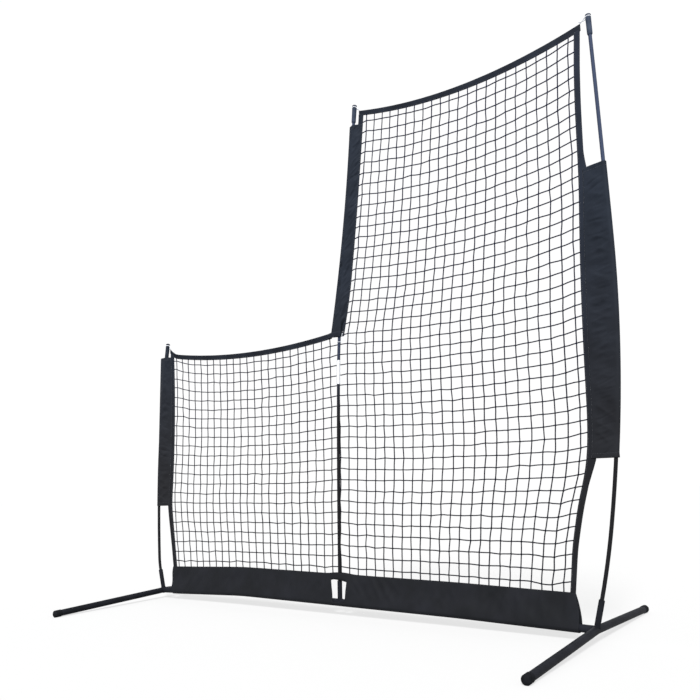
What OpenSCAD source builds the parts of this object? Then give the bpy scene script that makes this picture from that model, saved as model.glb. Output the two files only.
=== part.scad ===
// L-shaped pitching screen: a steel base, three fibreglass poles and a net of two panels.
// All sizes are in millimetres. The net stands in the XZ plane and faces the pitcher at -Y.

/* [Screen] */
// Height of the two tall pole caps above the floor
screen_h = 2134; // [1900:1:2300]
// Height of the low pole cap above the floor
low_h = 1236; // [1150:1:1300]
// Distance between the axes of the two feet
hub_span = 2070; // [1950:1:2200]
// Centre pole's place along the crossbar, from the middle
centre_pole_x = 20; // [-60:1:60]

/* [Feet] */
// Outer diameter of the foot and crossbar tubes
tube_d = 25.4; // [22:0.1:28]
// Wall of the foot and crossbar tubes
tube_wall = 1.5; // [1:0.1:2]
// Height of a foot tube's axis at its bend
hub_h = 36; // [32:0.5:45]
// From a foot's bend to the tip of its caps
foot_reach = 580; // [450:1:700]
// Wall of a rubber foot cap
foot_cap_wall = 1.6; // [1.2:0.1:2.5]
// Length of a rubber foot cap
foot_cap_len = 42; // [30:1:60]
// Rubber in front of the tube's end in a foot cap
foot_cap_tip = 8; // [5:0.5:12]
// Depth of the flat sole on a foot cap
sole_cut = 0.8; // [0.4:0.1:1.2]

/* [Crossbar] */
// Left crossbar joint's distance from the middle
left_joint_x = 520; // [400:1:650]
// Height of the tube's axis at the left joint
left_joint_h = 56; // [38:0.5:60]
// Right crossbar joint's distance from the middle
right_joint_x = 540; // [400:1:650]
// Height of the tube's axis at the right joint
right_joint_h = 47; // [38:0.5:60]
// Length of a foot's crossbar stub, from the foot's axis
stub_len = 72; // [60:1:100]
// Length of a swaged spigot inside its tube
spigot_len = 56; // [44:1:70]
// Wall of a swaged spigot
spigot_wall = 1.4; // [1:0.1:2]
// Gap between a spigot and its tube, all round
spigot_gap = 0.3; // [0.15:0.05:0.6]
// Length of the cone where a tube is swaged down
swage_len = 6; // [3:0.5:12]

/* [Snap buttons] */
// Diameter of a snap button
button_d = 6; // [5:0.1:7]
// Gap round a button in its holes
button_gap = 0.2; // [0.1:0.05:0.4]
// How far a button stands out of the outer tube
button_proud = 3; // [2:0.1:4]
// A foot button's distance from the foot's axis
foot_button_at = 27; // [24:0.5:32]
// A bar button's distance from its joint
bar_button_at = 30; // [20:0.5:36]
// Diameter of the flange that keeps a button in
button_flange_d = 8.6; // [8:0.1:10]
// Thickness of the flange
button_flange_t = 1; // [0.8:0.1:1.5]
// Thickness of a leaf spring
spring_t = 0.8; // [0.5:0.1:1]
// Width of a leaf spring
spring_w = 6.5; // [5:0.1:7.5]
// Length of a leaf spring
spring_len = 30; // [24:1:36]

/* [Poles] */
// Diameter of the poles
pole_d = 13; // [11:0.1:15]
// Outer diameter of the pole sockets
socket_d = 19; // [17.5:0.1:22]
// Gap between a pole and its socket, all round
socket_gap = 0.3; // [0.15:0.05:0.6]
// Length of a foot's pole socket, from the foot's axis
side_socket_len = 95; // [70:1:130]
// Height of the centre socket's mouth above the crossbar's axis
centre_socket_len = 82; // [60:1:95]
// Outward lean of the two side sockets
socket_lean = 15; // [8:0.5:18]
// Lean of the centre socket to the right
centre_lean = 0.7; // [0:0.1:3]
// Air between a pole's foot and the tube below it
pole_foot_gap = 0.5; // [0.3:0.1:2]
// How far below the step the tall poles are joined
pole_joint_drop = 173; // [140:1:400]
// Length of a pole ferrule
ferrule_len = 100; // [70:1:140]
// Wall of a pole ferrule
ferrule_wall = 1.3; // [0.8:0.1:2]
// Gap between a pole and its ferrule, all round
ferrule_gap = 0.1; // [0.05:0.05:0.3]

/* [Pole bends] */
// Right pole: length of its lower bend above the socket
right_bend_1 = 240; // [200:1:300]
// Right pole: outward lean at the end of its lower bend
right_lean_1 = 10; // [8:0.1:12]
// Right pole: length of its long middle bend
right_bend_2 = 960; // [900:1:1000]
// Right pole: inward lean at the end of its middle bend
right_lean_2 = 0.15; // [0:0.05:1]
// Right pole: inward lean at its top
right_lean_3 = 0.7; // [0:0.1:2]
// Left pole: length of its short bend above the socket
left_bend_1 = 60; // [50:1:90]
// Left pole: outward lean at the end of its short bend
left_lean_1 = 3.8; // [2:0.1:6]
// Left pole: inward lean at its top
left_lean_2 = 7.9; // [5:0.1:9]
// Middle pole: length of its lower bend above the socket
middle_bend_1 = 830; // [780:1:860]
// Middle pole: lean at the end of its lower bend
middle_lean_1 = 2.2; // [1.5:0.1:3]
// Middle pole: length of the bend at the step
middle_bend_2 = 330; // [280:1:380]
// Middle pole: lean above the step
middle_lean_2 = 7.5; // [6:0.05:8.5]
// Middle pole: lean at its top
middle_lean_3 = 5.9; // [4:0.1:7]

/* [Pole caps] */
// Diameter of a pole cap
cap_d = 20; // [18:0.5:24]
// Length of a pole cap
cap_len = 82; // [60:1:110]
// Solid head of a cap above the pole's end
cap_head = 24; // [20:0.5:32]
// Depth of the loop groove below the cap's top
groove_at = 8.5; // [7:0.5:11]
// Height of the loop groove
groove_h = 6; // [5:0.5:8]
// Diameter at the bottom of the loop groove
groove_d = 14; // [12:0.5:16]
// Gap between a curved pole and the bore of its straight cap
cap_gap = 0.5; // [0.3:0.05:0.9]

/* [Net] */
// Diameter of a net cord in this plain form
net_cord = 2.5; // [1.5:0.1:4]
// Pitch of the net's plain form
net_pitch = 108; // [106:1:150]
// Air between the step sleeve and the binding behind it
net_clear = 0.2; // [0.1:0.1:4]
// Width of the edge bindings
binding_w = 22; // [18:0.5:28]
// Thickness of the edge bindings
binding_t = 3; // [2.6:0.1:4]
// Sag of the low panel's top edge
low_sag = 40; // [10:1:70]
// Rise of the low panel's top edge into its corner
low_flare = 25; // [0:1:40]
// Sag of the tall panel's top edge
tall_sag = 60; // [10:1:90]
// Drop from the right cap's top to the net's corner
right_corner_drop = 21; // [18:0.5:50]
// Drop from the middle cap's top to the net's corner
step_corner_drop = 28; // [18:0.5:50]
// Drop from the low cap's top to the net's corner
low_corner_drop = 28; // [18:0.5:60]
// Gap between the right pole's axis and the net's corner
right_corner_gap = 33; // [26:1:60]
// Gap between the low pole's axis and the net's corner
low_corner_gap = 10; // [8:1:60]
// Gap between the middle pole's axis and the net's corner
step_corner_gap = 18; // [10:1:60]
// Height of the step's lower corner, where low and tall panel meet
step_h = 1145; // [1100:1:1200]
// Height above the step at which its edge turns towards the pole
step_turn_rise = 155; // [110:1:200]
// Binding's edge right of the middle pole's axis, at the step sleeve's top
step_edge_top = 17.5; // [0:0.5:30]
// The same at the turn
step_edge_turn = 11; // [0:0.5:30]
// Binding's edge left of the middle pole's axis, at the step sleeve's foot
step_edge_foot = 8.5; // [0:0.5:20]
// Bow of the step's edge above its turn
step_bow = 4; // [0:0.5:12]
// Inward bow of the right side's edge above its sleeve
top_bow = 7; // [0:1:20]
// Inward bow of the right side's edge along its sleeve
right_bow = 9; // [0:1:20]
// Inward bow of the left side's edge along its sleeve
left_bow = 12; // [0:1:20]
// Inward bow of the right side's edge below its sleeve
foot_bow = 17; // [0:1:25]

/* [Sleeves and skirt] */
// Thickness of the fabric
cloth_t = 1.2; // [0.8:0.1:1.6]
// Air between the fabric and what it goes round
cloth_gap = 0.6; // [0.5:0.1:1]
// Top of the right sleeve
right_sleeve_top = 1573; // [1400:1:1700]
// Foot of the right sleeve
right_sleeve_foot = 590; // [500:1:700]
// Width of the right sleeve, pole edge to binding
right_sleeve_w = 74.5; // [50:0.5:90]
// Drop from the low cap's top to the left sleeve's top
left_sleeve_drop = 85; // [84:1:200]
// Foot of the left sleeve
left_sleeve_foot = 436; // [380:1:600]
// Width of the left sleeve's top, outer edge to binding
left_sleeve_w_top = 64.5; // [55:0.5:100]
// Width of the left sleeve's foot, outer edge to binding
left_sleeve_w_foot = 70.5; // [55:0.5:100]
// Slack outside the pole at the left sleeve's top
left_slack_top = 35; // [10:1:40]
// Slack outside the pole at the left sleeve's foot
left_slack_foot = 4; // [2:1:12]
// Drop from the middle cap's top to the step sleeve's top
step_sleeve_drop = 98; // [86:1:200]
// Slack outside the pole at the step sleeve's top
step_slack_top = 12; // [4:1:20]
// Slack outside the pole at the step sleeve's foot
step_slack_foot = 38.5; // [10:1:45]
// Bow of the step sleeve's outer edge towards the net
step_fold_bow = 13; // [0:1:20]
// Height of the skirt above the crossbar's axis
skirt_h = 106.5; // [95:0.5:130]
// Half depth of the skirt's hem round the crossbar
hem_half = 18; // [17:0.5:24]
// Gap between the left foot's axis and the skirt, at the crossbar
skirt_gap_left = 75; // [40:1:90]
// Gap between the right foot's axis and the skirt, at the crossbar
skirt_gap_right = 38; // [34:1:90]
// How much further out the skirt's upper left corner lies
skirt_flare_left = 19; // [0:1:30]
// How much further in the skirt's upper right corner lies
skirt_taper_right = 36; // [0:1:45]
// Height of the window's foot above the crossbar's axis
window_foot = 8; // [6:0.5:20]
// Height of the window's top above the crossbar's axis
window_top = 89; // [70:0.5:92]
// Window's width left of the centre pole's axis
window_left = 53; // [25:1:60]
// Window's width right of the centre pole's axis
window_right = 38; // [20:1:45]

/* [Elastic loops] */
// Diameter of the elastic cord
loop_d = 4.4; // [3:0.1:5]
// Outer diameter of the step eyelet
eyelet_d = 12; // [10:0.5:14]
// Bore of the step eyelet
eyelet_bore = 6; // [4:0.5:8]
// How far the eyelet's rims stand proud of the binding
eyelet_rim = 0.8; // [0.5:0.1:1.5]

/* [Hidden] */

FN = 64;          // facets of a full circle on tubes and rods
BEND_FN = 1440;   // facets of a full turn along a pole's very wide bends
COLLAR = 1.6;     // length of the collar where two stretches of a pole meet
STEPS = 14;       // points along each curved edge of the net
RINGS = 12;       // rings along a sleeve

tube_r = tube_d / 2;
bore_r = tube_r - tube_wall;
spigot_r = bore_r - spigot_gap;
pole_joint_h = step_h - pole_joint_drop;
step_turn_h = step_h + step_turn_rise;
step_sleeve_top = screen_h - step_sleeve_drop;
left_sleeve_top = low_h - left_sleeve_drop;
spigot_bore_r = spigot_r - spigot_wall;
pole_r = pole_d / 2;

STEEL = "#2c2d31";
FIBRE = "#4c5564";
RUBBER = "#1e1e20";
CLOTH = "#2b2e35";
NET = "#26282d";
BRIGHT = "#e8e8ec";
ELASTIC = "#d9dade";

// ---- points and paths in the XZ plane: p = [x, z] ----

function unit(v) = v / norm(v);
function mix(a, b, u) = a + (b - a) * u;

// A path is [start point, start angle from vertical, [[length, end angle], ...]].
// Each stretch is a straight line or one arc; it leans to +X for a positive angle.
function step_on(p, a, len, b) =
    abs(b - a) < 0.001
    ? p + len * [sin(a), cos(a)]
    : let (k = (b - a) * PI / 180 / len) p + [cos(a) - cos(b), sin(b) - sin(a)] / k;

function path_stretches(path, i = 0, s = 0, p = undef, a = undef) =
    let (q = p == undef ? path[0] : p, b = a == undef ? path[1] : a)
    i >= len(path[2]) ? []
    : let (l = path[2][i][0], e = path[2][i][1])
      concat([[s, q, b, l, e]], path_stretches(path, i + 1, s + l, step_on(q, b, l, e), e));

function path_len(path) = let (t = path_stretches(path), n = len(t) - 1) t[n][0] + t[n][3];

function stretch_at(t, s, i = 0) = i >= len(t) - 1 || s < t[i][0] + t[i][3] ? t[i] : stretch_at(t, s, i + 1);
function path_angle(path, s) =
    let (t = stretch_at(path_stretches(path), s)) mix(t[2], t[4], (s - t[0]) / t[3]);
function path_point(path, s) =
    let (t = stretch_at(path_stretches(path), s), a = mix(t[2], t[4], (s - t[0]) / t[3]))
    s <= t[0] ? t[1] : step_on(t[1], t[2], s - t[0], a);

// Height to be gained by a last stretch that turns from angle a to angle b gives its length.
function rise_len(rise, a, b) =
    abs(b - a) < 0.001 ? rise / cos(a) : rise * (b - a) * PI / 180 / (sin(b) - sin(a));

// The x of a path at height z.
function stretch_by_height(t, z, i = 0) =
    i >= len(t) - 1 || z < t[i + 1][1][1] ? t[i] : stretch_by_height(t, z, i + 1);
function path_x(path, z) =
    let (t = stretch_by_height(path_stretches(path), z), q = t[1], a = t[2])
    abs(t[4] - a) < 0.001
    ? q[0] + (z - q[1]) * tan(a)
    : let (k = (t[4] - a) * PI / 180 / t[3], b = asin(sin(a) + k * (z - q[1])))
      q[0] + (cos(a) - cos(b)) / k;

// The distance along a path at height z.
function path_s(path, z) =
    let (t = stretch_by_height(path_stretches(path), z), q = t[1], a = t[2])
    abs(t[4] - a) < 0.001
    ? t[0] + (z - q[1]) / cos(a)
    : let (k = (t[4] - a) * PI / 180 / t[3]) t[0] + (asin(sin(a) + k * (z - q[1])) - a) * PI / 180 / k;

// ---- the base's points ----

hub_left = [-hub_span / 2, hub_h];
hub_right = [hub_span / 2, hub_h];
joint_left = [-left_joint_x, left_joint_h];
joint_right = [right_joint_x, right_joint_h];
left_dir = unit(joint_left - hub_left);      // from the left foot towards the middle
right_dir = unit(joint_right - hub_right);   // from the right foot towards the middle
middle_dir = unit(joint_right - joint_left);

// Height of the crossbar's axis at x.
function bar_z(x) = lookup(x, [hub_left, joint_left, joint_right, hub_right]);
centre_base = [centre_pole_x, bar_z(centre_pole_x)];

foot_cap_r = tube_r + foot_cap_wall;
foot_drop = atan((hub_h - foot_cap_r + sole_cut) / (foot_reach - foot_cap_tip));
foot_len = foot_reach / cos(foot_drop);      // along the sloping tube, to the tip of its cap

// ---- the poles' paths ----

pole_foot = tube_r + pole_foot_gap;

function pole_top(h, a) = h - cap_head * cos(a);
function lean_dir(a) = [sin(a), cos(a)];
function path_with_top(start, a, arcs, last, top_z) =
    let (part = [start, a, arcs], n = path_len(part), p = path_point(part, n), b = arcs[len(arcs) - 1][1])
    [start, a, concat(arcs, [[rise_len(top_z - p[1], b, last), last]])];

right_path = path_with_top(
    hub_right + pole_foot * lean_dir(socket_lean), socket_lean,
    [[side_socket_len - pole_foot, socket_lean], [right_bend_1, right_lean_1], [right_bend_2, -right_lean_2]],
    -right_lean_3, pole_top(screen_h, right_lean_3));
left_path = path_with_top(
    hub_left + pole_foot * lean_dir(-socket_lean), -socket_lean,
    [[side_socket_len - pole_foot, -socket_lean], [left_bend_1, -left_lean_1]],
    left_lean_2, pole_top(low_h, left_lean_2));
middle_path = path_with_top(
    centre_base + pole_foot * lean_dir(centre_lean), centre_lean,
    [[centre_socket_len - pole_foot, centre_lean], [middle_bend_1, middle_lean_1], [middle_bend_2, middle_lean_2]],
    middle_lean_3, pole_top(screen_h, middle_lean_3));

right_cut = path_s(right_path, pole_joint_h);
middle_cut = path_s(middle_path, pole_joint_h);

// ---- the net's edges, in the XZ plane ----

sleeve_in_r = pole_r + cloth_gap;
sleeve_out_r = sleeve_in_r + cloth_t;
right_in_r = pole_r + ferrule_gap + ferrule_wall + cloth_gap;   // the right sleeve goes over a ferrule
right_fold = right_in_r + cloth_t + 0.3;
net_y = sleeve_out_r + net_clear + binding_t / 2;

function bowed(a, b, bow, z) = let (u = (z - a[1]) / (b[1] - a[1])) mix(a[0], b[0], u) + bow * 4 * u * (1 - u);
function sagging(a, b, sag, u) = mix(a, b, u) - [0, sag * 4 * u * (1 - u)];
function skirt_top(x) = bar_z(x) + skirt_h;
function over_skirt(x) = [x, skirt_top(x) + 0.3];

// right side, outer edge of the binding, from the top down
right_corner_h = screen_h - right_corner_drop;
right_corner = [path_x(right_path, right_corner_h) - right_corner_gap, right_corner_h];
right_p1 = [path_x(right_path, right_sleeve_top) + sleeve_out_r - right_sleeve_w, right_sleeve_top];
right_p2 = [path_x(right_path, right_sleeve_foot) + sleeve_out_r - right_sleeve_w, right_sleeve_foot];
right_p3 = over_skirt(hub_right[0] - skirt_gap_right - skirt_taper_right + binding_w * 0.6);
function right_x(z) =
    z > right_p1[1] ? bowed(right_p1, right_corner, -top_bow, z)
    : z > right_p2[1] ? bowed(right_p2, right_p1, -right_bow, z)
    : bowed(right_p3, right_p2, -foot_bow, z);

// left side, outer edge of the binding
left_corner_h = low_h - low_corner_drop;
left_corner = [path_x(left_path, left_corner_h) + low_corner_gap, left_corner_h];
left_p1 = [left_outer(left_sleeve_top) + left_sleeve_w_top, left_sleeve_top];
left_p2 = [left_outer(left_sleeve_foot) + left_sleeve_w_foot, left_sleeve_foot];
left_p3 = over_skirt(hub_left[0] + skirt_gap_left - skirt_flare_left);
function left_outer(z) =
    let (u = (z - left_sleeve_foot) / (left_sleeve_top - left_sleeve_foot),
         a = path_x(left_path, left_sleeve_foot) - sleeve_out_r - left_slack_foot,
         b = path_x(left_path, left_sleeve_top) - sleeve_out_r - left_slack_top)
    min(mix(a, b, u), path_x(left_path, z) - sleeve_out_r - 1);
function left_x(z) =
    z > left_p1[1] ? bowed(left_p1, left_corner, 0, z)
    : z > left_p2[1] ? bowed(left_p2, left_p1, left_bow, z)
    : bowed(left_p3, left_p2, 0, z);

// step side, outer edge of the binding
step_sleeve_foot = step_h - binding_w;
step_corner_h = screen_h - step_corner_drop;
step_p0 = [path_x(middle_path, step_corner_h) + step_corner_gap, step_corner_h];
step_p1 = [path_x(middle_path, step_sleeve_top) + step_edge_top, step_sleeve_top];
step_p2 = [path_x(middle_path, step_turn_h) + step_edge_turn, step_turn_h];
step_p3 = [path_x(middle_path, step_sleeve_foot) - step_edge_foot, step_sleeve_foot];
function step_outer(z) =
    let (u = (z - step_sleeve_foot) / (step_sleeve_top - step_sleeve_foot),
         a = path_x(middle_path, step_sleeve_foot) - sleeve_out_r - step_slack_foot,
         b = path_x(middle_path, step_sleeve_top) - sleeve_out_r - step_slack_top)
    min(mix(a, b, u) + step_fold_bow * 4 * u * (1 - u), path_x(middle_path, z) - sleeve_out_r - 1);
function step_x(z) =
    z > step_p1[1] ? bowed(step_p1, step_p0, 0, z)
    : z > step_p2[1] ? bowed(step_p2, step_p1, step_bow, z)
    : bowed(step_p3, step_p2, 0, z);

// top edges, upper side of the binding, from left to right
FLARE_LEN = 60;
low_right = [step_outer(step_sleeve_foot) - cloth_gap, step_h];
function low_top(u) =
    let (p = sagging(left_corner - [0, low_flare], low_right, low_sag, u), d = max(0, 1 - (p[0] - left_corner[0]) / FLARE_LEN))
    p + [0, low_flare * d * d];
function tall_top(u) = sagging(step_p0, right_corner, tall_sag, u);

UP = [for (i = [0 : STEPS]) i / STEPS];
LOW_UP = concat([0, 0.012, 0.024, 0.036, 0.048], [for (i = [1 : STEPS]) i / STEPS]);
DOWN = [for (i = [STEPS : -1 : 0]) i / STEPS];
function down_by(pts, d) = [for (p = pts) p - [0, d]];

// The model's middle, so that the origin lies under the centre of its box.
right_reach = max([for (z = [right_sleeve_foot : 10 : right_sleeve_top]) path_x(right_path, z)]) + right_fold;
left_reach = -min([for (z = [left_sleeve_foot : 10 : left_sleeve_top]) left_outer(z)]);
shift_x = (left_reach - right_reach) / 2;

// ---- helpers ----

// A solid in the plane of the net: outline [x, z], from y0 to y0 + t.
module plate(outline, y0, t) {
    translate([0, y0 + t, 0]) rotate([90, 0, 0]) linear_extrude(t) polygon(outline);
}

// Children drawn along +Z are put at point p of the XZ plane, leaning by angle a.
module at_point(p, a) {
    translate([p[0], 0, p[1]]) rotate([0, a, 0]) children();
}

// The angle from vertical of a direction in the XZ plane.
function lean_of(d) = atan2(d[0], d[1]);

// A round bar from distance s1 to s2 along a path. Where two stretches meet inside it, a collar a
// hair wider than the bar bridges them.
module path_bar(path, s1, s2, r) {
    for (t = path_stretches(path)) {
        joined = t[0] > s1 + COLLAR && t[0] < s2 - COLLAR;
        a = joined ? t[0] + COLLAR / 8 : max(s1, t[0]);
        b = t[0] + t[3] < s2 - COLLAR ? t[0] + t[3] - COLLAR / 8 : min(s2, t[0] + t[3]);
        if (joined) at_point(t[1], t[2]) translate([0, 0, -COLLAR / 2]) cylinder(r = r + 0.04, h = COLLAR, $fn = FN);
        if (b > a + 0.01) {
            turn = (t[4] - t[2]) * (b - a) / t[3];
            at_point(path_point(path, a), mix(t[2], t[4], (a - t[0]) / t[3])) {
                if (abs(turn) < 0.001) cylinder(r = r, h = b - a, $fn = FN);
                else arc_bar((b - a) / (abs(turn) * PI / 180), abs(turn), turn > 0 ? 0 : 1, r);
            }
        }
    }
}

// A bar that starts along +Z and bends by an angle towards +X, or -X when flipped.
module arc_bar(bend_r, angle, flip, r) {
    mirror([flip, 0, 0]) translate([bend_r, 0, 0]) rotate([90, 0, 0]) mirror([1, 0, 0])
        rotate_extrude(angle = angle, $fn = BEND_FN) translate([bend_r, 0]) circle(r, $fn = FN);
}

module path_tube(path, s1, s2, r, bore) {
    difference() {
        path_bar(path, s1, s2, r);
        path_bar(path, s1 - 0.5, s2 + 0.5, bore);
    }
}

function quad(a, b, c, d) = [[a, b, c], [a, c, d]];

// A closed wall between two stacks of rings with as many points each: outer rings, then inner rings.
module hollow_skin(outer, inner) {
    n = len(outer);
    m = len(outer[0]);
    k = n * m;
    points = concat([for (r = outer) each r], [for (r = inner) each r]);
    faces = concat(
        [for (i = [0 : n - 2], j = [0 : m - 1]) let (j2 = (j + 1) % m)
            each quad(i * m + j, (i + 1) * m + j, (i + 1) * m + j2, i * m + j2)],
        [for (i = [0 : n - 2], j = [0 : m - 1]) let (j2 = (j + 1) % m)
            each quad(k + i * m + j, k + i * m + j2, k + (i + 1) * m + j2, k + (i + 1) * m + j)],
        [for (j = [0 : m - 1]) let (j2 = (j + 1) % m) each quad(j, j2, k + j2, k + j)],
        [for (j = [0 : m - 1]) let (j2 = (j + 1) % m, e = (n - 1) * m)
            each quad(e + j, k + e + j, k + e + j2, e + j2)]);
    polyhedron(points, faces);
}

// ---- base ----

// One straight leg of a foot, as a bar from the bend outwards: side -1 is the front, +1 the rear.
module leg_bar(hub, side, r, from, to) {
    translate([hub[0], 0, hub[1]]) rotate([-side * (90 + foot_drop), 0, 0])
        translate([0, 0, from]) cylinder(r = r, h = to - from, $fn = FN);
}

// Both legs with a mitre at the bend.
module foot_bars(hub, r, to) {
    for (side = [-1, 1]) intersection() {
        leg_bar(hub, side, r, -tube_d, to);
        translate([hub[0] - tube_d, side < 0 ? -2 * foot_len : 0, -hub_h]) cube([2 * tube_d, 2 * foot_len, 4 * hub_h]);
    }
}

module foot_tube(hub) {
    difference() {
        foot_bars(hub, tube_r, foot_len - foot_cap_tip);
        foot_bars(hub, bore_r, foot_len);
    }
}

// Short tube for the crossbar, coped to the foot; its thin tips are cut off at STUB_START.
STUB_START = tube_r * 0.4;
module foot_stub(hub, dir) {
    difference() {
        at_point(hub, lean_of(dir)) difference() {
            translate([0, 0, STUB_START]) cylinder(r = tube_r, h = stub_len - STUB_START, $fn = FN);
            translate([0, 0, -1]) cylinder(r = bore_r, h = stub_len + 2, $fn = FN);
        }
        foot_bars(hub, tube_r, tube_d * 2);
        button_hole(hub, dir, foot_button_at);
    }
}

module pole_socket(hub, lean, dir) {
    difference() {
        at_point(hub, lean) cylinder(r = socket_d / 2, h = side_socket_len, $fn = FN);
        at_point(hub, lean) translate([0, 0, -1]) cylinder(r = pole_r + socket_gap, h = side_socket_len + 2, $fn = FN);
        foot_bars(hub, tube_r, tube_d * 2);
        at_point(hub, lean_of(dir)) cylinder(r = tube_r, h = stub_len, $fn = FN);
    }
}

module centre_socket() {
    difference() {
        at_point(centre_base, centre_lean) cylinder(r = socket_d / 2, h = centre_socket_len, $fn = FN);
        at_point(centre_base, centre_lean)
            translate([0, 0, -1]) cylinder(r = pole_r + socket_gap, h = centre_socket_len + 2, $fn = FN);
        at_point(joint_left, lean_of(middle_dir))
            cylinder(r = tube_r, h = norm(joint_right - joint_left), $fn = FN);
    }
}

// Rubber cap over a leg's end, domed at the tip and cut flat where it stands.
module foot_cap(hub, side) {
    intersection() {
        translate([hub[0], 0, hub[1]]) rotate([-side * (90 + foot_drop), 0, 0]) difference() {
            intersection() {
                translate([0, 0, foot_len - foot_cap_len]) cylinder(r = foot_cap_r, h = foot_cap_len, $fn = FN);
                translate([0, 0, foot_len - foot_cap_r * 1.35]) sphere(r = foot_cap_r * 1.35, $fn = FN);
            }
            translate([0, 0, foot_len - foot_cap_len - 1])
                cylinder(r = tube_r, h = foot_cap_len - foot_cap_tip + 1, $fn = FN);
        }
        translate([hub[0] - tube_d, -2 * foot_len, 0]) cube([2 * tube_d, 4 * foot_len, 4 * hub_h]);
    }
}

// Hole for a button on the rear of a tube, at a distance from p along dir.
module button_hole(p, dir, at) {
    q = p + dir * at;
    translate([q[0], 0, q[1]]) rotate([-90, 0, 0]) cylinder(d = button_d + 2 * button_gap, h = tube_d, $fn = 32);
}

// A spigot that leaves a swaged end at p along dir; it starts a little inside the cone, where it bends.
NECK = 1.5;
module spigot_bar(p, dir, r, len) {
    at_point(p - dir * NECK, lean_of(dir)) cylinder(r = r, h = len + NECK, $fn = FN);
}

module outer_bar(hub, joint, dir) {
    length = norm(joint - hub);
    start = stub_len + 1;
    difference() {
        union() {
            at_point(hub, lean_of(dir)) {
                translate([0, 0, start + swage_len]) cylinder(r = tube_r, h = length - start - swage_len, $fn = FN);
                translate([0, 0, start]) cylinder(r1 = spigot_r, r2 = tube_r, h = swage_len, $fn = FN);
                translate([0, 0, start - spigot_len]) cylinder(r = spigot_r, h = spigot_len, $fn = FN);
            }
        }
        at_point(hub, lean_of(dir)) {
            translate([0, 0, start + swage_len]) cylinder(r = bore_r, h = length, $fn = FN);
            translate([0, 0, start - 0.01]) cylinder(r1 = spigot_bore_r, r2 = bore_r, h = swage_len + 0.02, $fn = FN);
            translate([0, 0, start - spigot_len - 1]) cylinder(r = spigot_bore_r, h = spigot_len + 1, $fn = FN);
        }
        button_hole(hub, dir, foot_button_at);
        button_hole(joint, -dir, bar_button_at);
    }
}

module middle_bar() {
    length = norm(joint_right - joint_left);
    difference() {
        union() {
            at_point(joint_left, lean_of(middle_dir)) {
                translate([0, 0, swage_len]) cylinder(r = tube_r, h = length - 2 * swage_len, $fn = FN);
                cylinder(r1 = spigot_r - 0.1, r2 = tube_r, h = swage_len, $fn = FN);
                translate([0, 0, length - swage_len])
                    cylinder(r1 = tube_r, r2 = spigot_r - 0.1, h = swage_len, $fn = FN);
            }
            spigot_bar(joint_left, -left_dir, spigot_r, spigot_len);
            spigot_bar(joint_right, -right_dir, spigot_r, spigot_len);
        }
        at_point(joint_left, lean_of(middle_dir)) {
            translate([0, 0, swage_len]) cylinder(r = bore_r, h = length - 2 * swage_len, $fn = FN);
            translate([0, 0, -0.01]) cylinder(r1 = spigot_bore_r - 0.1, r2 = bore_r, h = swage_len + 0.02, $fn = FN);
            translate([0, 0, length - swage_len - 0.01])
                cylinder(r1 = bore_r, r2 = spigot_bore_r - 0.1, h = swage_len + 0.02, $fn = FN);
        }
        spigot_bar(joint_left, -left_dir, spigot_bore_r, spigot_len + 1);
        spigot_bar(joint_right, -right_dir, spigot_bore_r, spigot_len + 1);
        button_hole(joint_left, -left_dir, bar_button_at);
        button_hole(joint_right, -right_dir, bar_button_at);
    }
}

// ---- snap buttons: drawn with +Z outwards from the tube's axis, then turned to the rear ----

button_top = tube_r + button_proud;
flange_top = spigot_bore_r - 1.3;
flange_foot = flange_top - button_flange_t;

module to_rear(p, dir, at) {
    q = p + dir * at;
    translate([q[0], 0, q[1]]) rotate([-90, 0, 0]) children();
}

module button() {
    intersection() {
        translate([0, 0, flange_top - 0.01]) cylinder(d = button_d, h = button_top - flange_top + 0.01, $fn = 32);
        translate([0, 0, button_top - button_d * 0.75]) sphere(r = button_d * 0.75, $fn = FN);
    }
    translate([0, 0, flange_foot]) cylinder(d = button_d, h = button_top - button_d * 0.7 - flange_foot, $fn = 32);
    translate([0, 0, flange_foot]) cylinder(d = button_flange_d, h = button_flange_t, $fn = 32);
}

// V-shaped leaf: one leg under the button, a round bend, and a leg down to the far wall.
bend_r = 4;
module button_spring(towards) {
    top = flange_foot;
    lower = top - 2 * bend_r;
    foot = -sqrt(pow(spigot_bore_r, 2) - pow(spring_w / 2, 2)) + spring_t + 0.1;
    mirror([towards < 0 ? 1 : 0, 0, 0]) translate([0, spring_w / 2, 0]) rotate([90, 0, 0]) linear_extrude(spring_w) {
        translate([-button_flange_d / 2, top - spring_t]) square([spring_len + button_flange_d / 2, spring_t]);
        translate([spring_len, top - bend_r]) difference() {
            circle(r = bend_r, $fn = 48);
            circle(r = bend_r - spring_t, $fn = 48);
            translate([-2 * bend_r, -2 * bend_r]) square([2 * bend_r, 4 * bend_r]);
        }
        polygon([[spring_len, lower], [spring_len, lower + spring_t], [0, foot], [0, foot - spring_t]]);
    }
}

// ---- poles ----

module pole(path, s1, s2) {
    path_bar(path, s1, s2, pole_r);
}

module ferrule(path, cut) {
    path_tube(path, cut - ferrule_len / 2, cut + ferrule_len / 2, pole_r + ferrule_gap + ferrule_wall, pole_r + ferrule_gap);
}

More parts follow.
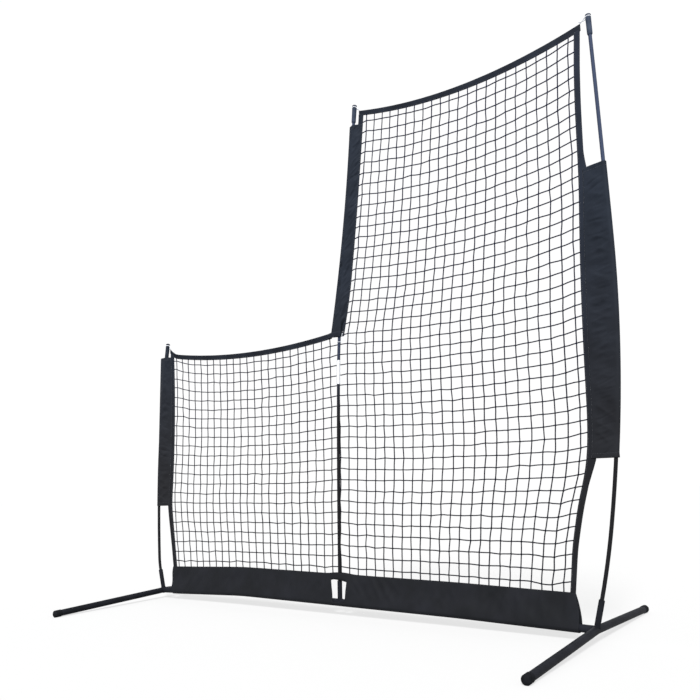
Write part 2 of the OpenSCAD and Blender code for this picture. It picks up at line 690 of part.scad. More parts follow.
// A cap is drawn from the pole's end upwards.
module pole_cap(path) {
    n = path_len(path);
    at_point(path_point(path, n), path_angle(path, n)) difference() {
        union() {
            intersection() {
                translate([0, 0, cap_head - groove_at]) cylinder(d = cap_d, h = groove_at, $fn = FN);
                translate([0, 0, cap_head - cap_d * 0.7]) sphere(r = cap_d * 0.7, $fn = FN);
            }
            translate([0, 0, cap_head - groove_at - groove_h]) cylinder(d = groove_d, h = groove_h + 1, $fn = FN);
            translate([0, 0, cap_head - cap_len + 4])
                cylinder(d1 = cap_d - 1, d2 = cap_d, h = cap_len - 4 - groove_at - groove_h, $fn = FN);
            translate([0, 0, cap_head - cap_len]) cylinder(d1 = cap_d - 4, d2 = cap_d - 1.5, h = 4, $fn = FN);
        }
        translate([0, 0, cap_head - cap_len - 1]) cylinder(r = pole_r + cap_gap, h = cap_len - cap_head + 1, $fn = FN);
    }
}

// ---- net, bindings ----

side_z0_right = right_p3[1];
side_z0_left = left_p3[1];
split_x = centre_pole_x;
net_tuck = 8;

function crossing(pts, x) = lookup(x, pts);

low_under_pts = down_by([for (u = LOW_UP) low_top(u)], binding_w);
tall_under_pts = down_by([for (u = UP) tall_top(u)], binding_w);

left_top_z = crossing(low_under_pts, max(left_corner[0], left_p1[0]) + binding_w) - 0.3;
step_top_z = crossing(tall_under_pts, step_p0[0] + binding_w) - 0.3;
right_top_z = crossing(tall_under_pts, right_corner[0] - binding_w) - 0.3;

function inner_right(z) = right_x(z) - binding_w;
function inner_left(z) = left_x(z) + binding_w;
function inner_step(z) = step_x(z) + binding_w;

low_outline = concat(
    [[split_x, step_sleeve_foot - cloth_gap], [split_x, skirt_top(split_x) - net_tuck]],
    [joint_left + [0, skirt_h - net_tuck]],
    [[inner_left(side_z0_left), side_z0_left - net_tuck]],
    [for (u = UP) let (z = mix(side_z0_left, left_top_z, u)) [inner_left(z), z]],
    [for (p = low_under_pts) if (p[0] > inner_left(left_top_z) + 1 && p[0] < low_right[0]) p],
    [[low_right[0], step_sleeve_foot - cloth_gap]]);

tall_outline = concat(
    [[split_x + 0.1, skirt_top(split_x) - net_tuck], [split_x + 0.1, step_sleeve_foot - cloth_gap]],
    [for (u = UP) let (z = mix(step_sleeve_foot - cloth_gap, step_top_z, u)) [inner_step(max(z, step_sleeve_foot)), z]],
    [for (p = tall_under_pts) if (p[0] > inner_step(step_top_z) + 1 && p[0] < inner_right(right_top_z) - 1) p],
    [for (u = DOWN) let (z = mix(side_z0_right, right_top_z, u)) [inner_right(z), z]],
    [[inner_right(side_z0_right), side_z0_right - net_tuck]],
    [joint_right + [0, skirt_h - net_tuck]]);

// Square mesh: cords both ways, with a cord along the outline's straight seam left to its neighbour.
module net_panel(outline, x0, x1, z0, z1) {
    translate([0, net_y + net_cord / 2, 0]) rotate([90, 0, 0]) linear_extrude(net_cord) intersection() {
        polygon(outline);
        union() {
            for (x = [x0 : net_pitch : x1]) translate([x - net_cord / 2, z0]) square([net_cord, z1 - z0]);
            for (z = [z0 + net_tuck : net_pitch : z1]) translate([x0 - net_pitch, z]) square([x1 - x0 + 2 * net_pitch, net_cord]);
        }
    }
}

module low_net_panel() {
    net_panel(low_outline, split_x - net_cord / 2 - net_pitch * 10, split_x, joint_left[1] + skirt_h - net_tuck - 20, step_h);
}

module tall_net_panel() {
    net_panel(tall_outline, split_x + net_cord / 2 + 0.1, right_corner[0], joint_left[1] + skirt_h - net_tuck - 20, screen_h);
}

module binding(outline) {
    plate(outline, net_y - binding_t / 2, binding_t);
}

module top_binding(upper) {
    binding(concat(upper, [for (i = [len(upper) - 1 : -1 : 0]) upper[i] - [0, binding_w]]));
}

module side_binding(edge, w) {
    binding(concat(edge, [for (i = [len(edge) - 1 : -1 : 0]) edge[i] + [w, 0]]));
}

eyelet_h = step_sleeve_foot + binding_w * 0.75;
eyelet_c = [step_x(eyelet_h) + binding_w - eyelet_d / 2 - 0.5, eyelet_h];

module eyelet_bar(r, t) {
    translate([eyelet_c[0], net_y + t / 2, eyelet_c[1]]) rotate([90, 0, 0]) cylinder(r = r, h = t, $fn = 48);
}

// ---- sleeves ----

// Bearing of a point from the origin, and half the angle that a circle about the origin hides from it.
function bearing(p) = atan2(p[1], p[0]);
function half_view(p, r) = acos(min(r / norm(p), 0.9999));

REAR = 3;    // steps of the cloth round the pole's rear
FRONT = 9;   // steps of the cloth round the pole's front
// A taut loop of cloth round a pole of radius r at the origin: it leaves the seam at point b, goes over the
// rear to fold point o on the -X side, and comes round the front to the seam at point a.
function cloth_ring(a, b, o, r) =
    let (rear_from = bearing(b) + half_view(b, r), rear_to = bearing(o) - half_view(o, r),
         front_from = bearing(o) + half_view(o, r), front_to = bearing(a) - half_view(a, r) + 360,
         free = rear_from >= rear_to)
    concat([b], [for (i = [0 : REAR]) let (t = mix(rear_from, rear_to, i / REAR))
                free ? mix(b, o, (i + 1) / (REAR + 2)) : r * [cos(t), sin(t)]],
           [o], [for (i = [0 : FRONT]) let (t = mix(front_from, front_to, i / FRONT)) r * [cos(t), sin(t)]],
           [a]);

// sx is the seam's and -fx the fold's distance from the pole's axis.
function sleeve_out(sx, fx, r) = cloth_ring([sx, sleeve_out_r], [sx, net_y + cloth_t], [-fx, 0], r + cloth_t);

// The inner loop's seam lies inside the wedge between the two layers that meet at the outer seam.
function sleeve_in(sx, fx, r) =
    let (out = sleeve_out(sx, fx, r), n = len(out), a = out[n - 1], b = out[0],
         d1 = unit(out[n - 2] - a), d2 = unit(out[1] - b), mid = unit(d1 + d2),
         half = acos(d1 * mid), p = (a + b) / 2 + mid * min(6, 1.3 / sin(half)))
    cloth_ring(p - [0, 0.1], p + [0, 0.1], [-(fx - 0.6 * cloth_t), 0], r);

// At each height: the pole's axis, the seam and the fold, for a fold on the left; r is the loop's inner radius.
module sleeve(heights, axis, seam, fold, r) {
    n = len(heights);
    function at(ring, i) = [for (p = ring) [p[0] + axis[i], p[1], heights[i]]];
    outer = [for (i = [0 : n - 1]) at(sleeve_out(seam[i] - axis[i], axis[i] - fold[i], r), i)];
    inner = [for (i = [0 : n - 1]) at(sleeve_in(seam[i] - axis[i], axis[i] - fold[i], r), i)];
    hollow_skin(outer, inner);
}

function heights(z0, z1) = [for (i = [0 : RINGS]) mix(z0, z1, i / RINGS)];

// ---- skirt ----

BOTTOM = 8;   // points round the bottom of the hem
hem_drop = tube_r + cloth_gap + cloth_t;
seam_front = net_y - net_cord / 2 - 0.2;
seam_back = net_y + net_cord / 2 + 0.2;
pole_front = -(pole_r + cloth_gap);

// One U-shaped line of the skirt, front top to rear top; o is 0 for its inner and 1 for its outer face.
UPPER = [skirt_h, window_top, window_foot];
function skirt_line(front, o) =
    let (t = o * cloth_t, n = len(UPPER) - 1)
    concat([for (z = UPPER) [mix(cloth_t - hem_half, front, z / skirt_h) - t, z]],
           [for (i = [0 : BOTTOM]) let (a = 180 + 180 * i / BOTTOM)
               [(hem_half - cloth_t + t) * cos(a), (hem_drop - cloth_t + t) * sin(a)]],
           [for (i = [n : -1 : 0]) [mix(hem_half - cloth_t, seam_back, UPPER[i] / skirt_h) + t, UPPER[i]]]);

// A station is [x at the hem, x at the top, y of the front layer's inner face at the top].
function skirt_row(st, o) =
    [for (p = skirt_line(st[2], o)) [mix(st[0], st[1], p[1] / skirt_h), p[0], bar_z(st[0]) + p[1]]];

skirt_left_x = hub_left[0] + skirt_gap_left;
skirt_right_x = hub_right[0] - skirt_gap_right;
bulge = 90;       // from the centre pole to where the front layer lies flat again
pole_pass = pole_r + 3;
function bulge_y(d) = d < pole_pass ? pole_front : mix(pole_front, seam_front, (d - pole_pass) / (bulge - pole_pass));
function window_station(side, w) = [centre_pole_x + side * w, centre_pole_x + side * w, bulge_y(w)];

skirt_stations = concat(
    [[skirt_left_x, skirt_left_x - skirt_flare_left, seam_front]],
    [for (x = [skirt_left_x * 0.75, joint_left[0], centre_pole_x * 0.5 - left_joint_x * 0.5, centre_pole_x - bulge])
        [x, x, seam_front]],
    [window_station(-1, window_left)],
    [for (x = [centre_pole_x - pole_pass, centre_pole_x + pole_pass]) [x, x, pole_front]],
    [window_station(1, window_right)],
    [for (x = [centre_pole_x + bulge, centre_pole_x * 0.5 + right_joint_x * 0.5, joint_right[0], skirt_right_x * 0.75])
        [x, x, seam_front]],
    [[skirt_right_x, skirt_right_x - skirt_taper_right, seam_front]]);
WINDOW = [5, 6, 7];   // cells between stations that the window opens

// Cloth with an outer and an inner face over a grid of cells; open(i, j) tells which cells are holes.
module grid_cloth(outer, inner, holes) {
    n = len(outer);
    m = len(outer[0]);
    k = n * m;
    solid = function(i, j) i >= 0 && j >= 0 && i < n - 1 && j < m - 1 && !holes(i, j);
    rim = function(p, q) quad(q, p, k + p, k + q);
    faces = [for (i = [0 : n - 2], j = [0 : m - 2]) if (solid(i, j))
        let (a = i * m + j, b = (i + 1) * m + j, c = b + 1, d = a + 1)
        each concat(quad(a, b, c, d), quad(k + a, k + d, k + c, k + b),
            solid(i, j - 1) ? [] : rim(a, b), solid(i + 1, j) ? [] : rim(b, c),
            solid(i, j + 1) ? [] : rim(c, d), solid(i - 1, j) ? [] : rim(d, a))];
    polyhedron(concat([for (r = outer) each r], [for (r = inner) each r]), faces);
}

module skirt_solid() {
    last = 2 * len(UPPER) + BOTTOM - 1;
    holes = function(i, j) i >= WINDOW[0] && i < WINDOW[0] + len(WINDOW) && (j == 1 || j == last - 1);
    grid_cloth([for (st = skirt_stations) skirt_row(st, 1)], [for (st = skirt_stations) skirt_row(st, 0)], holes);
}

// ---- elastic loops ----

module ball(p, r) {
    translate(p) sphere(r = r, $fn = 32);
}

module strand(p, q, r) {
    d = q - p;
    translate(p) rotate([0, acos(d[2] / norm(d)), atan2(d[1], d[0])]) cylinder(r = r, h = norm(d), $fn = 32);
}

// A loop that lies in a cap's groove, leaves it sideways and is knotted on top of the net's corner.
module corner_loop(path, corner) {
    n = path_len(path);
    a = path_angle(path, n);
    p = path_point(path, n) + (cap_head - groove_at - groove_h / 2) * lean_dir(a);
    d = corner + [0, loop_d * 0.75 + 0.4] - p;
    knot = [d[0] * cos(a) - d[1] * sin(a), net_y, d[0] * sin(a) + d[1] * cos(a)];
    r = groove_d / 2 + loop_d / 2 + 0.1;
    reach = cap_d / 2 + loop_d * 0.8;
    way = atan2(knot[1], knot[0]);
    t = acos(r / reach);
    out = [reach * cos(way), reach * sin(way), 0];
    at_point(p, a) {
        rotate_extrude($fn = 96) translate([r, 0]) circle(loop_d / 2, $fn = 32);
        for (side = [-t, t]) strand([r * cos(way + side), r * sin(way + side), 0], out, loop_d * 0.44);
        ball(out, loop_d * 0.6);
        strand(out, knot, loop_d * 0.5);
        ball(knot, loop_d * 0.75);
    }
}

module step_loop_solid() {
    cord = loop_d / 4;
    r = pole_r + cord + 0.4;
    z = step_sleeve_foot - 24;
    tie = [eyelet_c[0], net_y - binding_t / 2 - eyelet_rim - cord * 1.5 - 0.1, eyelet_c[1] - eyelet_d / 2];
    translate([path_x(middle_path, z), 0, z]) rotate_extrude($fn = 96) translate([r, 0]) circle(cord, $fn = 32);
    ball([path_x(middle_path, z) + r, 0, z], cord * 1.5);
    strand([path_x(middle_path, z) + r, 0, z], tie, cord * 0.9);
    ball(tie, cord * 1.5);
}

// ---- nodes ----

module place() {
    translate([shift_x, 0, 0]) children();
}

module left_foot_tube() { color(STEEL) place() foot_tube(hub_left); }
module right_foot_tube() { color(STEEL) place() foot_tube(hub_right); }
module left_foot_stub() { color(STEEL) place() foot_stub(hub_left, left_dir); }
module right_foot_stub() { color(STEEL) place() foot_stub(hub_right, right_dir); }
module left_pole_socket() { color(STEEL) place() pole_socket(hub_left, -socket_lean, left_dir); }
module right_pole_socket() { color(STEEL) place() pole_socket(hub_right, socket_lean, right_dir); }
module centre_pole_socket() { color(STEEL) place() centre_socket(); }
module left_front_foot_cap() { color(RUBBER) place() foot_cap(hub_left, -1); }
module left_rear_foot_cap() { color(RUBBER) place() foot_cap(hub_left, 1); }
module right_front_foot_cap() { color(RUBBER) place() foot_cap(hub_right, -1); }
module right_rear_foot_cap() { color(RUBBER) place() foot_cap(hub_right, 1); }
module crossbar_left() { color(STEEL) place() outer_bar(hub_left, joint_left, left_dir); }
module crossbar_middle() { color(STEEL) place() middle_bar(); }
module crossbar_right() { color(STEEL) place() outer_bar(hub_right, joint_right, right_dir); }
module left_foot_button() { color(BRIGHT) place() to_rear(hub_left, left_dir, foot_button_at) button(); }
module left_bar_button() { color(BRIGHT) place() to_rear(joint_left, -left_dir, bar_button_at) button(); }
module right_bar_button() { color(BRIGHT) place() to_rear(joint_right, -right_dir, bar_button_at) button(); }
module right_foot_button() { color(BRIGHT) place() to_rear(hub_right, right_dir, foot_button_at) button(); }
module left_foot_button_spring() {
    color(BRIGHT) place() to_rear(hub_left, left_dir, foot_button_at) button_spring(1);
}
module left_bar_button_spring() {
    color(BRIGHT) place() to_rear(joint_left, -left_dir, bar_button_at) button_spring(1);
}
module right_bar_button_spring() {
    color(BRIGHT) place() to_rear(joint_right, -right_dir, bar_button_at) button_spring(-1);
}
module right_foot_button_spring() {
    color(BRIGHT) place() to_rear(hub_right, right_dir, foot_button_at) button_spring(-1);
}
module left_pole() { color(FIBRE) place() pole(left_path, 0, path_len(left_path)); }
module middle_pole_lower() { color(FIBRE) place() pole(middle_path, 0, middle_cut); }
module middle_pole_upper() { color(FIBRE) place() pole(middle_path, middle_cut, path_len(middle_path)); }
module right_pole_lower() { color(FIBRE) place() pole(right_path, 0, right_cut); }
module right_pole_upper() { color(FIBRE) place() pole(right_path, right_cut, path_len(right_path)); }
module middle_pole_ferrule() { color(BRIGHT) place() ferrule(middle_path, middle_cut); }
module right_pole_ferrule() { color(BRIGHT) place() ferrule(right_path, right_cut); }
module left_pole_cap() { color(FIBRE) place() pole_cap(left_path); }
module middle_pole_cap() { color(FIBRE) place() pole_cap(middle_path); }
module right_pole_cap() { color(FIBRE) place() pole_cap(right_path); }
module low_net() { color(NET) place() low_net_panel(); }
module tall_net() { color(NET) place() tall_net_panel(); }
module low_top_binding() { color(CLOTH) place() top_binding([for (u = LOW_UP) low_top(u)]); }
module tall_top_binding() { color(CLOTH) place() top_binding([for (u = UP) tall_top(u)]); }
module left_side_binding() {
    color(CLOTH) place() side_binding([for (u = UP) let (z = mix(side_z0_left, left_top_z, u)) [left_x(z), z]], binding_w);
}
module step_side_binding() {
    color(CLOTH) place() difference() {
        side_binding([for (u = UP) let (z = mix(step_sleeve_foot, step_top_z, u)) [step_x(z), z]], binding_w);
        eyelet_bar(eyelet_bore / 2 + 1, 4 * binding_t);
    }
}
module right_side_binding() {
    color(CLOTH) place() side_binding([for (u = UP) let (z = mix(side_z0_right, right_top_z, u)) [right_x(z), z]], -binding_w);
}
module left_sleeve() {
    hs = heights(left_sleeve_foot, left_sleeve_top);
    color(CLOTH) place() sleeve(hs, [for (z = hs) path_x(left_path, z)],
        [for (z = hs) left_x(z) - cloth_gap], [for (z = hs) left_outer(z)], sleeve_in_r);
}
module step_sleeve() {
    hs = heights(step_sleeve_foot, step_sleeve_top);
    color(CLOTH) place() sleeve(hs, [for (z = hs) path_x(middle_path, z)],
        [for (z = hs) step_x(z) - cloth_gap], [for (z = hs) step_outer(z)], sleeve_in_r);
}
module right_sleeve() {
    hs = heights(right_sleeve_foot, right_sleeve_top);
    color(CLOTH) place() mirror([1, 0, 0]) sleeve(hs, [for (z = hs) -path_x(right_path, z)],
        [for (z = hs) -right_x(z) - cloth_gap], [for (z = hs) -path_x(right_path, z) - right_fold], right_in_r);
}
module skirt() { color(CLOTH) place() skirt_solid(); }
module left_corner_loop() { color(ELASTIC) place() corner_loop(left_path, left_corner); }
module middle_corner_loop() { color(ELASTIC) place() corner_loop(middle_path, step_p0); }
module right_corner_loop() { color(ELASTIC) place() corner_loop(right_path, right_corner); }
module step_loop() { color(ELASTIC) place() step_loop_solid(); }
module step_eyelet() {
    color(BRIGHT) place() difference() {
        union() {
            eyelet_bar(eyelet_bore / 2 + 1, binding_t + 2 * eyelet_rim);
            for (side = [-1, 1]) translate([0, side * (binding_t + eyelet_rim) / 2, 0]) eyelet_bar(eyelet_d / 2, eyelet_rim);
        }
        eyelet_bar(eyelet_bore / 2, 4 * binding_t);
    }
}

left_foot_tube();
right_foot_tube();
left_foot_stub();
right_foot_stub();
left_pole_socket();
right_pole_socket();
centre_pole_socket();
left_front_foot_cap();
left_rear_foot_cap();
right_front_foot_cap();
right_rear_foot_cap();
crossbar_left();
crossbar_middle();
crossbar_right();
left_foot_button();
left_bar_button();
right_bar_button();
right_foot_button();
left_foot_button_spring();
left_bar_button_spring();
right_bar_button_spring();
right_foot_button_spring();
left_pole();
middle_pole_lower();
middle_pole_upper();
right_pole_lower();
right_pole_upper();
middle_pole_ferrule();
right_pole_ferrule();
left_pole_cap();
middle_pole_cap();
right_pole_cap();
low_net();
tall_net();
low_top_binding();
tall_top_binding();
left_side_binding();
step_side_binding();
right_side_binding();
left_sleeve();
step_sleeve();
right_sleeve();
skirt();
left_corner_loop();
middle_corner_loop();
right_corner_loop();
step_loop();
step_eyelet();
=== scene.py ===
# %% [markdown]
# # An L-shaped pitching screen
# A pitcher throws past the low left panel, and the tall right panel shields them from the ball that is
# hit back. The real screen is a steel base that comes apart at its snap buttons, three fibreglass poles
# that are bent like bows, and one L-shaped net with sewn edges that the poles pull tight. The base, poles,
# caps and snap buttons come ready made as solids. This lesson gives them their finish, and makes what is
# braided, sewn or tied.

import functools
import math

import bmesh
import bpy
import numpy as np
from mathutils import Matrix, Vector, noise


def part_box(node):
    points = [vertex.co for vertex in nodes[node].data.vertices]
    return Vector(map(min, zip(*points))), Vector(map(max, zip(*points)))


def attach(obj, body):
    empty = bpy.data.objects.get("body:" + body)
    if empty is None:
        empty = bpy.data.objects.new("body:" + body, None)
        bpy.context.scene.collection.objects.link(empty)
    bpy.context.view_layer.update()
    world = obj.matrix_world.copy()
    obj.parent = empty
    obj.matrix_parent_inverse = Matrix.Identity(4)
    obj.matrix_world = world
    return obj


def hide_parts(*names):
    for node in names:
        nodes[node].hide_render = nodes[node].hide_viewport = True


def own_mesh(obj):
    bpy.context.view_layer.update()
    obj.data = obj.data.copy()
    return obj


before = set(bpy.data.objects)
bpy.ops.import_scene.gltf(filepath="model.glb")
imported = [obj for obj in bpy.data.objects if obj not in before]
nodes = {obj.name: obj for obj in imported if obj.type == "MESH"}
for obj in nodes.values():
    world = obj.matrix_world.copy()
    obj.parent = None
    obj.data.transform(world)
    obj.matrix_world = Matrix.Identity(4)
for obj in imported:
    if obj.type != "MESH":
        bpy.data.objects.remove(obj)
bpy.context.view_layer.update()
ROOT = "screen"
X, Y, Z = 0, 1, 2
MM = 0.001


# %% [markdown]
# Three small helpers come back all through the lesson: a value held between two limits, a pull that
# fades with distance, and smooth noise that is the same on every run.

# %% Small helpers
def clamp(value, low=0.0, high=1.0):
    return min(max(value, low), high)


def fade(distance, reach, power=2):
    """1 at distance 0, about a third at the reach, and soon nothing beyond it."""
    return math.exp(-((distance / reach) ** power))


def noise_at(*place):
    return noise.noise(Vector(place))


# %% [markdown]
# ## Reading the solids
# Every sewn piece has to sit exactly where its plain solid sits. The sizes could be typed in a second
# time, but they would soon disagree. Cutting the solids' meshes with a plane gives the same numbers, and
# they stay right when the solids change: the edge of a binding at any height, or a pole's axis.

# %% Cut a solid with a plane
INSIDE = 0.05 * MM     # a cut stays this far inside a solid's two ends


@functools.cache
def mesh_arrays(names):
    """The points and edges of one solid, or of several whose names are joined by +."""
    all_points, all_edges, count = [], [], 0
    for name in names.split("+"):
        mesh = nodes[name].data
        points = np.empty(len(mesh.vertices) * 3)
        edges = np.empty(len(mesh.edges) * 2, int)
        mesh.vertices.foreach_get("co", points)
        mesh.edges.foreach_get("vertices", edges)
        all_points.append(points.reshape(-1, 3))
        all_edges.append(edges.reshape(-1, 2) + count)
        count += len(mesh.vertices)
    return np.concatenate(all_points), np.concatenate(all_edges)


def cut(name, axis, at, along):
    """The lowest and highest value along one axis where the plane (axis = at) cuts the solid."""
    points, edges = mesh_arrays(name)
    at = clamp(at, points[:, axis].min() + INSIDE, points[:, axis].max() - INSIDE)
    a, b = points[edges[:, 0]], points[edges[:, 1]]
    before, after = a[:, axis] - at, b[:, axis] - at
    hit = (before * after <= 0) & (np.abs(before - after) > 1e-9)
    share = before[hit] / (before[hit] - after[hit])
    values = a[hit, along] + share * (b[hit, along] - a[hit, along])
    return values.min(), values.max()


def smooth(values, times=5):
    """Rounds the corners of a row of values; its two ends stay."""
    v = np.array(values, float)
    for _ in range(times):
        v[1:-1] = v[1:-1] / 2 + (v[:-2] + v[2:]) / 4
    return v


def dense_ends(count):
    """Shares from 0 to 1 that lie closer together near both ends, where a band turns into its corner."""
    u = np.linspace(0, 1, count)
    return u - 0.85 * np.sin(2 * np.pi * u) / (2 * np.pi)


class Edges:
    """The two edges of a long solid, as smooth curves: low(t) and high(t) along one axis."""

    def __init__(self, name, axis, along, count=90, times=5):
        points, _ = mesh_arrays(name)
        self.start, self.end = points[:, axis].min(), points[:, axis].max()
        self.t = self.start + (self.end - self.start) * dense_ends(count)
        spans = np.array([cut(name, axis, t, along) for t in self.t])
        self.lows, self.highs = smooth(spans[:, 0], times), smooth(spans[:, 1], times)

    def low(self, t):
        return np.interp(t, self.t, self.lows)

    def high(self, t):
        return np.interp(t, self.t, self.highs)

    def middle(self, t):
        return (self.low(t) + self.high(t)) / 2


left_edge = Edges("left_side_binding", Z, X)
step_edge = Edges("step_side_binding", Z, X)
right_edge = Edges("right_side_binding", Z, X)
low_top = Edges("low_top_binding", X, Z, times=3)
tall_top = Edges("tall_top_binding", X, Z)
crossbar = Edges("crossbar_left+crossbar_middle+crossbar_right", X, Z, times=2)
net_low_y, net_high_y = cut("low_top_binding", X, low_top.t[30], Y)
NET_Y = (net_low_y + net_high_y) / 2
BAND_HALF = (net_high_y - net_low_y) / 2
feet = [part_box("left_foot_tube"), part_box("right_foot_tube")]
MIDDLE_X = sum(lo.x + hi.x for lo, hi in feet) / 4
print("net plane y:", round(NET_Y, 4), "middle between the feet:", round(MIDDLE_X, 4))


# %% [markdown]
# ## The camera
# The screen is seen from the right and from below the middle of its height, so the tall corner leans away
# at the top. A turn, a tilt and a slight roll give the view. The camera's axes come straight from those
# three angles, because Euler angles would hide the order in which they are applied.

# %% Camera
IMAGE_PX = 700
FOCAL_PX = 731.2
SENSOR_MM = 36
EYE = Vector((MIDDLE_X + 1.8433, -2.4269, 0.5258))
TURN, TILT, ROLL = 0.6216, 0.1764, -0.0296


def camera_axes():
    forward = Vector((-math.sin(TURN) * math.cos(TILT), math.cos(TURN) * math.cos(TILT), math.sin(TILT)))
    level = Vector((math.cos(TURN), math.sin(TURN), 0))
    upright = level.cross(forward)
    right = math.cos(ROLL) * level + math.sin(ROLL) * upright
    up = math.cos(ROLL) * upright - math.sin(ROLL) * level
    return right, up, -forward


camera_data = bpy.data.cameras.new("camera")
camera_data.sensor_width = SENSOR_MM
camera_data.lens = FOCAL_PX * SENSOR_MM / IMAGE_PX
camera_data.clip_end = 60
camera = bpy.data.objects.new("camera", camera_data)
camera.matrix_world = Matrix.Translation(EYE) @ Matrix(camera_axes()).transposed().to_4x4()
bpy.context.scene.collection.objects.link(camera)
bpy.context.scene.camera = camera
print("lens:", round(camera_data.lens, 2), "mm")


# %% [markdown]
# ## Finishes
# Each finish is named for the real material and for how its surface was made. One helper turns a hex
# colour as seen on a screen into the linear values that light is counted in, one adds a node with its
# settings, values and links, and two put a finish together: its colours, and the bumps of its surface.

# %% Helpers for node trees
def colour(hex_code):
    parts = [int(hex_code[i : i + 2], 16) / 255 for i in (1, 3, 5)]
    return (*(p / 12.92 if p <= 0.04045 else ((p + 0.055) / 1.055) ** 2.4 for p in parts), 1)


def add(tree, kind, settings=None, inputs=None):
    """Adds a node. Its inputs are given by name or number, as a value or as a socket to link."""
    node = tree.nodes.new(kind)
    for name, value in (settings or {}).items():
        setattr(node, name, value)
    for name, value in (inputs or {}).items():
        if isinstance(value, bpy.types.NodeSocket):
            tree.links.new(value, node.inputs[name])
        else:
            node.inputs[name].default_value = value
    return node


def new_material(name, roughness, metallic=0.0, **shader):
    """A material with its shader, and the Object coordinates that its patterns read."""
    material = bpy.data.materials.new(name)
    material.use_nodes = True
    tree = material.node_tree
    bsdf = tree.nodes["Principled BSDF"]
    for socket, value in {"Roughness": roughness, "Metallic": metallic, **shader}.items():
        bsdf.inputs[socket.replace("_", " ")].default_value = value
    return material, tree, bsdf, add(tree, "ShaderNodeTexCoord").outputs["Object"]


def tones_by_height(tree, place, pattern, tones, heights=(0, 1), ramp=(0.3, 0.7)):
    """A colour that a pattern moves between two tones. Where a second pair of tones is given, it takes over
    from the first between two heights; every such change in this script is painted light, lighter and bluer
    higher up."""
    shades = []
    for pair in tones:
        node = add(tree, "ShaderNodeValToRGB", inputs={"Fac": pattern})
        for element, position, tone in zip(node.color_ramp.elements, ramp, pair):
            element.position, element.color = position, colour(tone)
        shades.append(node.outputs["Color"])
    if len(shades) == 1:
        return shades[0]
    height = add(tree, "ShaderNodeSeparateXYZ", inputs={"Vector": place})
    rise = add(tree, "ShaderNodeMapRange", {"interpolation_type": "SMOOTHSTEP"},
               {"Value": height.outputs["Z"], "From Min": heights[0], "From Max": heights[1]})
    mix = add(tree, "ShaderNodeMix", {"data_type": "RGBA"}, {0: rise.outputs[0], 6: shades[0], 7: shades[1]})
    return mix.outputs[2]


def end_material(tree, bsdf, shade, bumps, depth, strength=1.0):
    """Gives the shader its colour, and bumps of a depth in metres."""
    tree.links.new(shade, bsdf.inputs["Base Color"])
    bump = add(tree, "ShaderNodeBump", inputs={"Height": bumps, "Distance": depth, "Strength": strength})
    tree.links.new(bump.outputs["Normal"], bsdf.inputs["Normal"])


def grained(name, roughness, tones, grains, depth, heights=(0, 1), **shader):
    """A finish of one or two noises, each given by its grain in metres and its detail: the first moves
    the colour and the last makes the bumps. A grain of three sizes, along X, Y and Z, makes streaks."""
    material, tree, bsdf, place = new_material(name, roughness, **shader)
    patterns = []
    for grain, detail in grains:
        scaled = add(tree, "ShaderNodeMapping",
                     inputs={"Vector": place, "Scale": list(1 / np.broadcast_to(grain, 3))})
        speckle = add(tree, "ShaderNodeTexNoise",
                      inputs={"Vector": scaled.outputs[0], "Scale": 1.0, "Detail": detail})
        patterns.append(speckle.outputs["Fac"])
    end_material(tree, bsdf, tones_by_height(tree, place, patterns[0], tones, heights), patterns[-1], depth)
    return material


# %% [markdown]
# **Powder-coated steel** is sprayed with dry paint and baked. The coat is a dark satin skin with a faint
# orange peel about 1.5 mm across, drawn here by one noise for the bumps and one broad noise that moves
# the colour slightly, as handling does.

# %% Powder-coated steel
steel = grained("powder_coated_steel", 0.45, [("#141518", "#1c1d22")],
                [(71.43 * MM, 3.0), (1.5385 * MM, 1.0)], 0.12 * MM, Specular_IOR_Level=0.012)

# %% [markdown]
# **Rubber** for the foot caps is moulded and matt, and dust on it makes it greyer in broad patches.

# %% Moulded rubber
rubber = grained("moulded_rubber", 0.8, [("#0c0d0f", "#17181b")], [(16.667 * MM, 5.0)], 0.3 * MM,
                 Specular_IOR_Level=0.03)

# %% [markdown]
# ** Fibreglass rod** is drawn through a die, so its glass fibres run along it. They show as fine streaks:
# a noise that is stretched along the pole does this, because the poles stand nearly upright. The rods are
# drawn dark at their feet and slate blue higher up: a painted reflection of the bluish sky, which the higher
# rod catches more of.

# %% Pultruded fibreglass
# from 0.75 m to 1.3 m the tones turn lighter and bluer: a painted reflection of the bluish sky on the higher
# rod
rod = grained("pultruded_fibreglass", 0.42, [("#141416", "#1b1b1d"), ("#2a3142", "#373f52")],
              [((1.1111 * MM, 1.1111 * MM, 111.11 * MM), 2.0)], 0.08 * MM, (0.75, 1.3),
              Specular_IOR_Level=0.02)

# %% [markdown]
# **Bright metal.** The ferrules are drawn aluminium, polished nearly white, the snap buttons and the
# eyelet are nickel-plated steel, and the leaf springs are bare spring steel. All get fine lines from the
# tool that finished them.

# %% Bright metals
TOOL_LINES = [((16.667 * MM, 16.667 * MM, 0.41667 * MM), 2.0)]
aluminium, nickel, spring_steel = (
    grained(name, roughness, [tones], TOOL_LINES, 0.03 * MM, metallic=1.0)
    for name, roughness, tones in (
        ("drawn_aluminium", 0.42, ("#dfe2e8", "#f4f6fa")),
        ("nickel_plate", 0.4, ("#c9cbd0", "#ececef")),
        ("spring_steel", 0.35, ("#7f8288", "#a5a8ae")),
    )
)

# %% [markdown]
# ** Cap plastic** is injection-moulded nylon with a fine spark-eroded grain. It is drawn dark on the low
# cap and slate blue on the higher ones: a painted reflection of the bluish sky, which the higher caps
# catch more of.

# %% Moulded nylon
# between 1.0 m and 1.7 m the tones turn from dark to slate blue: a painted reflection of the bluish sky on
# the higher caps
nylon = grained("moulded_nylon", 0.5, [("#13161b", "#1c2026"), ("#282f3b", "#363e4d")],
                [(33.333 * MM, 2.0), (1.1111 * MM, 2.0)], 0.04 * MM, (1.0, 1.7), Specular_IOR_Level=0.03)
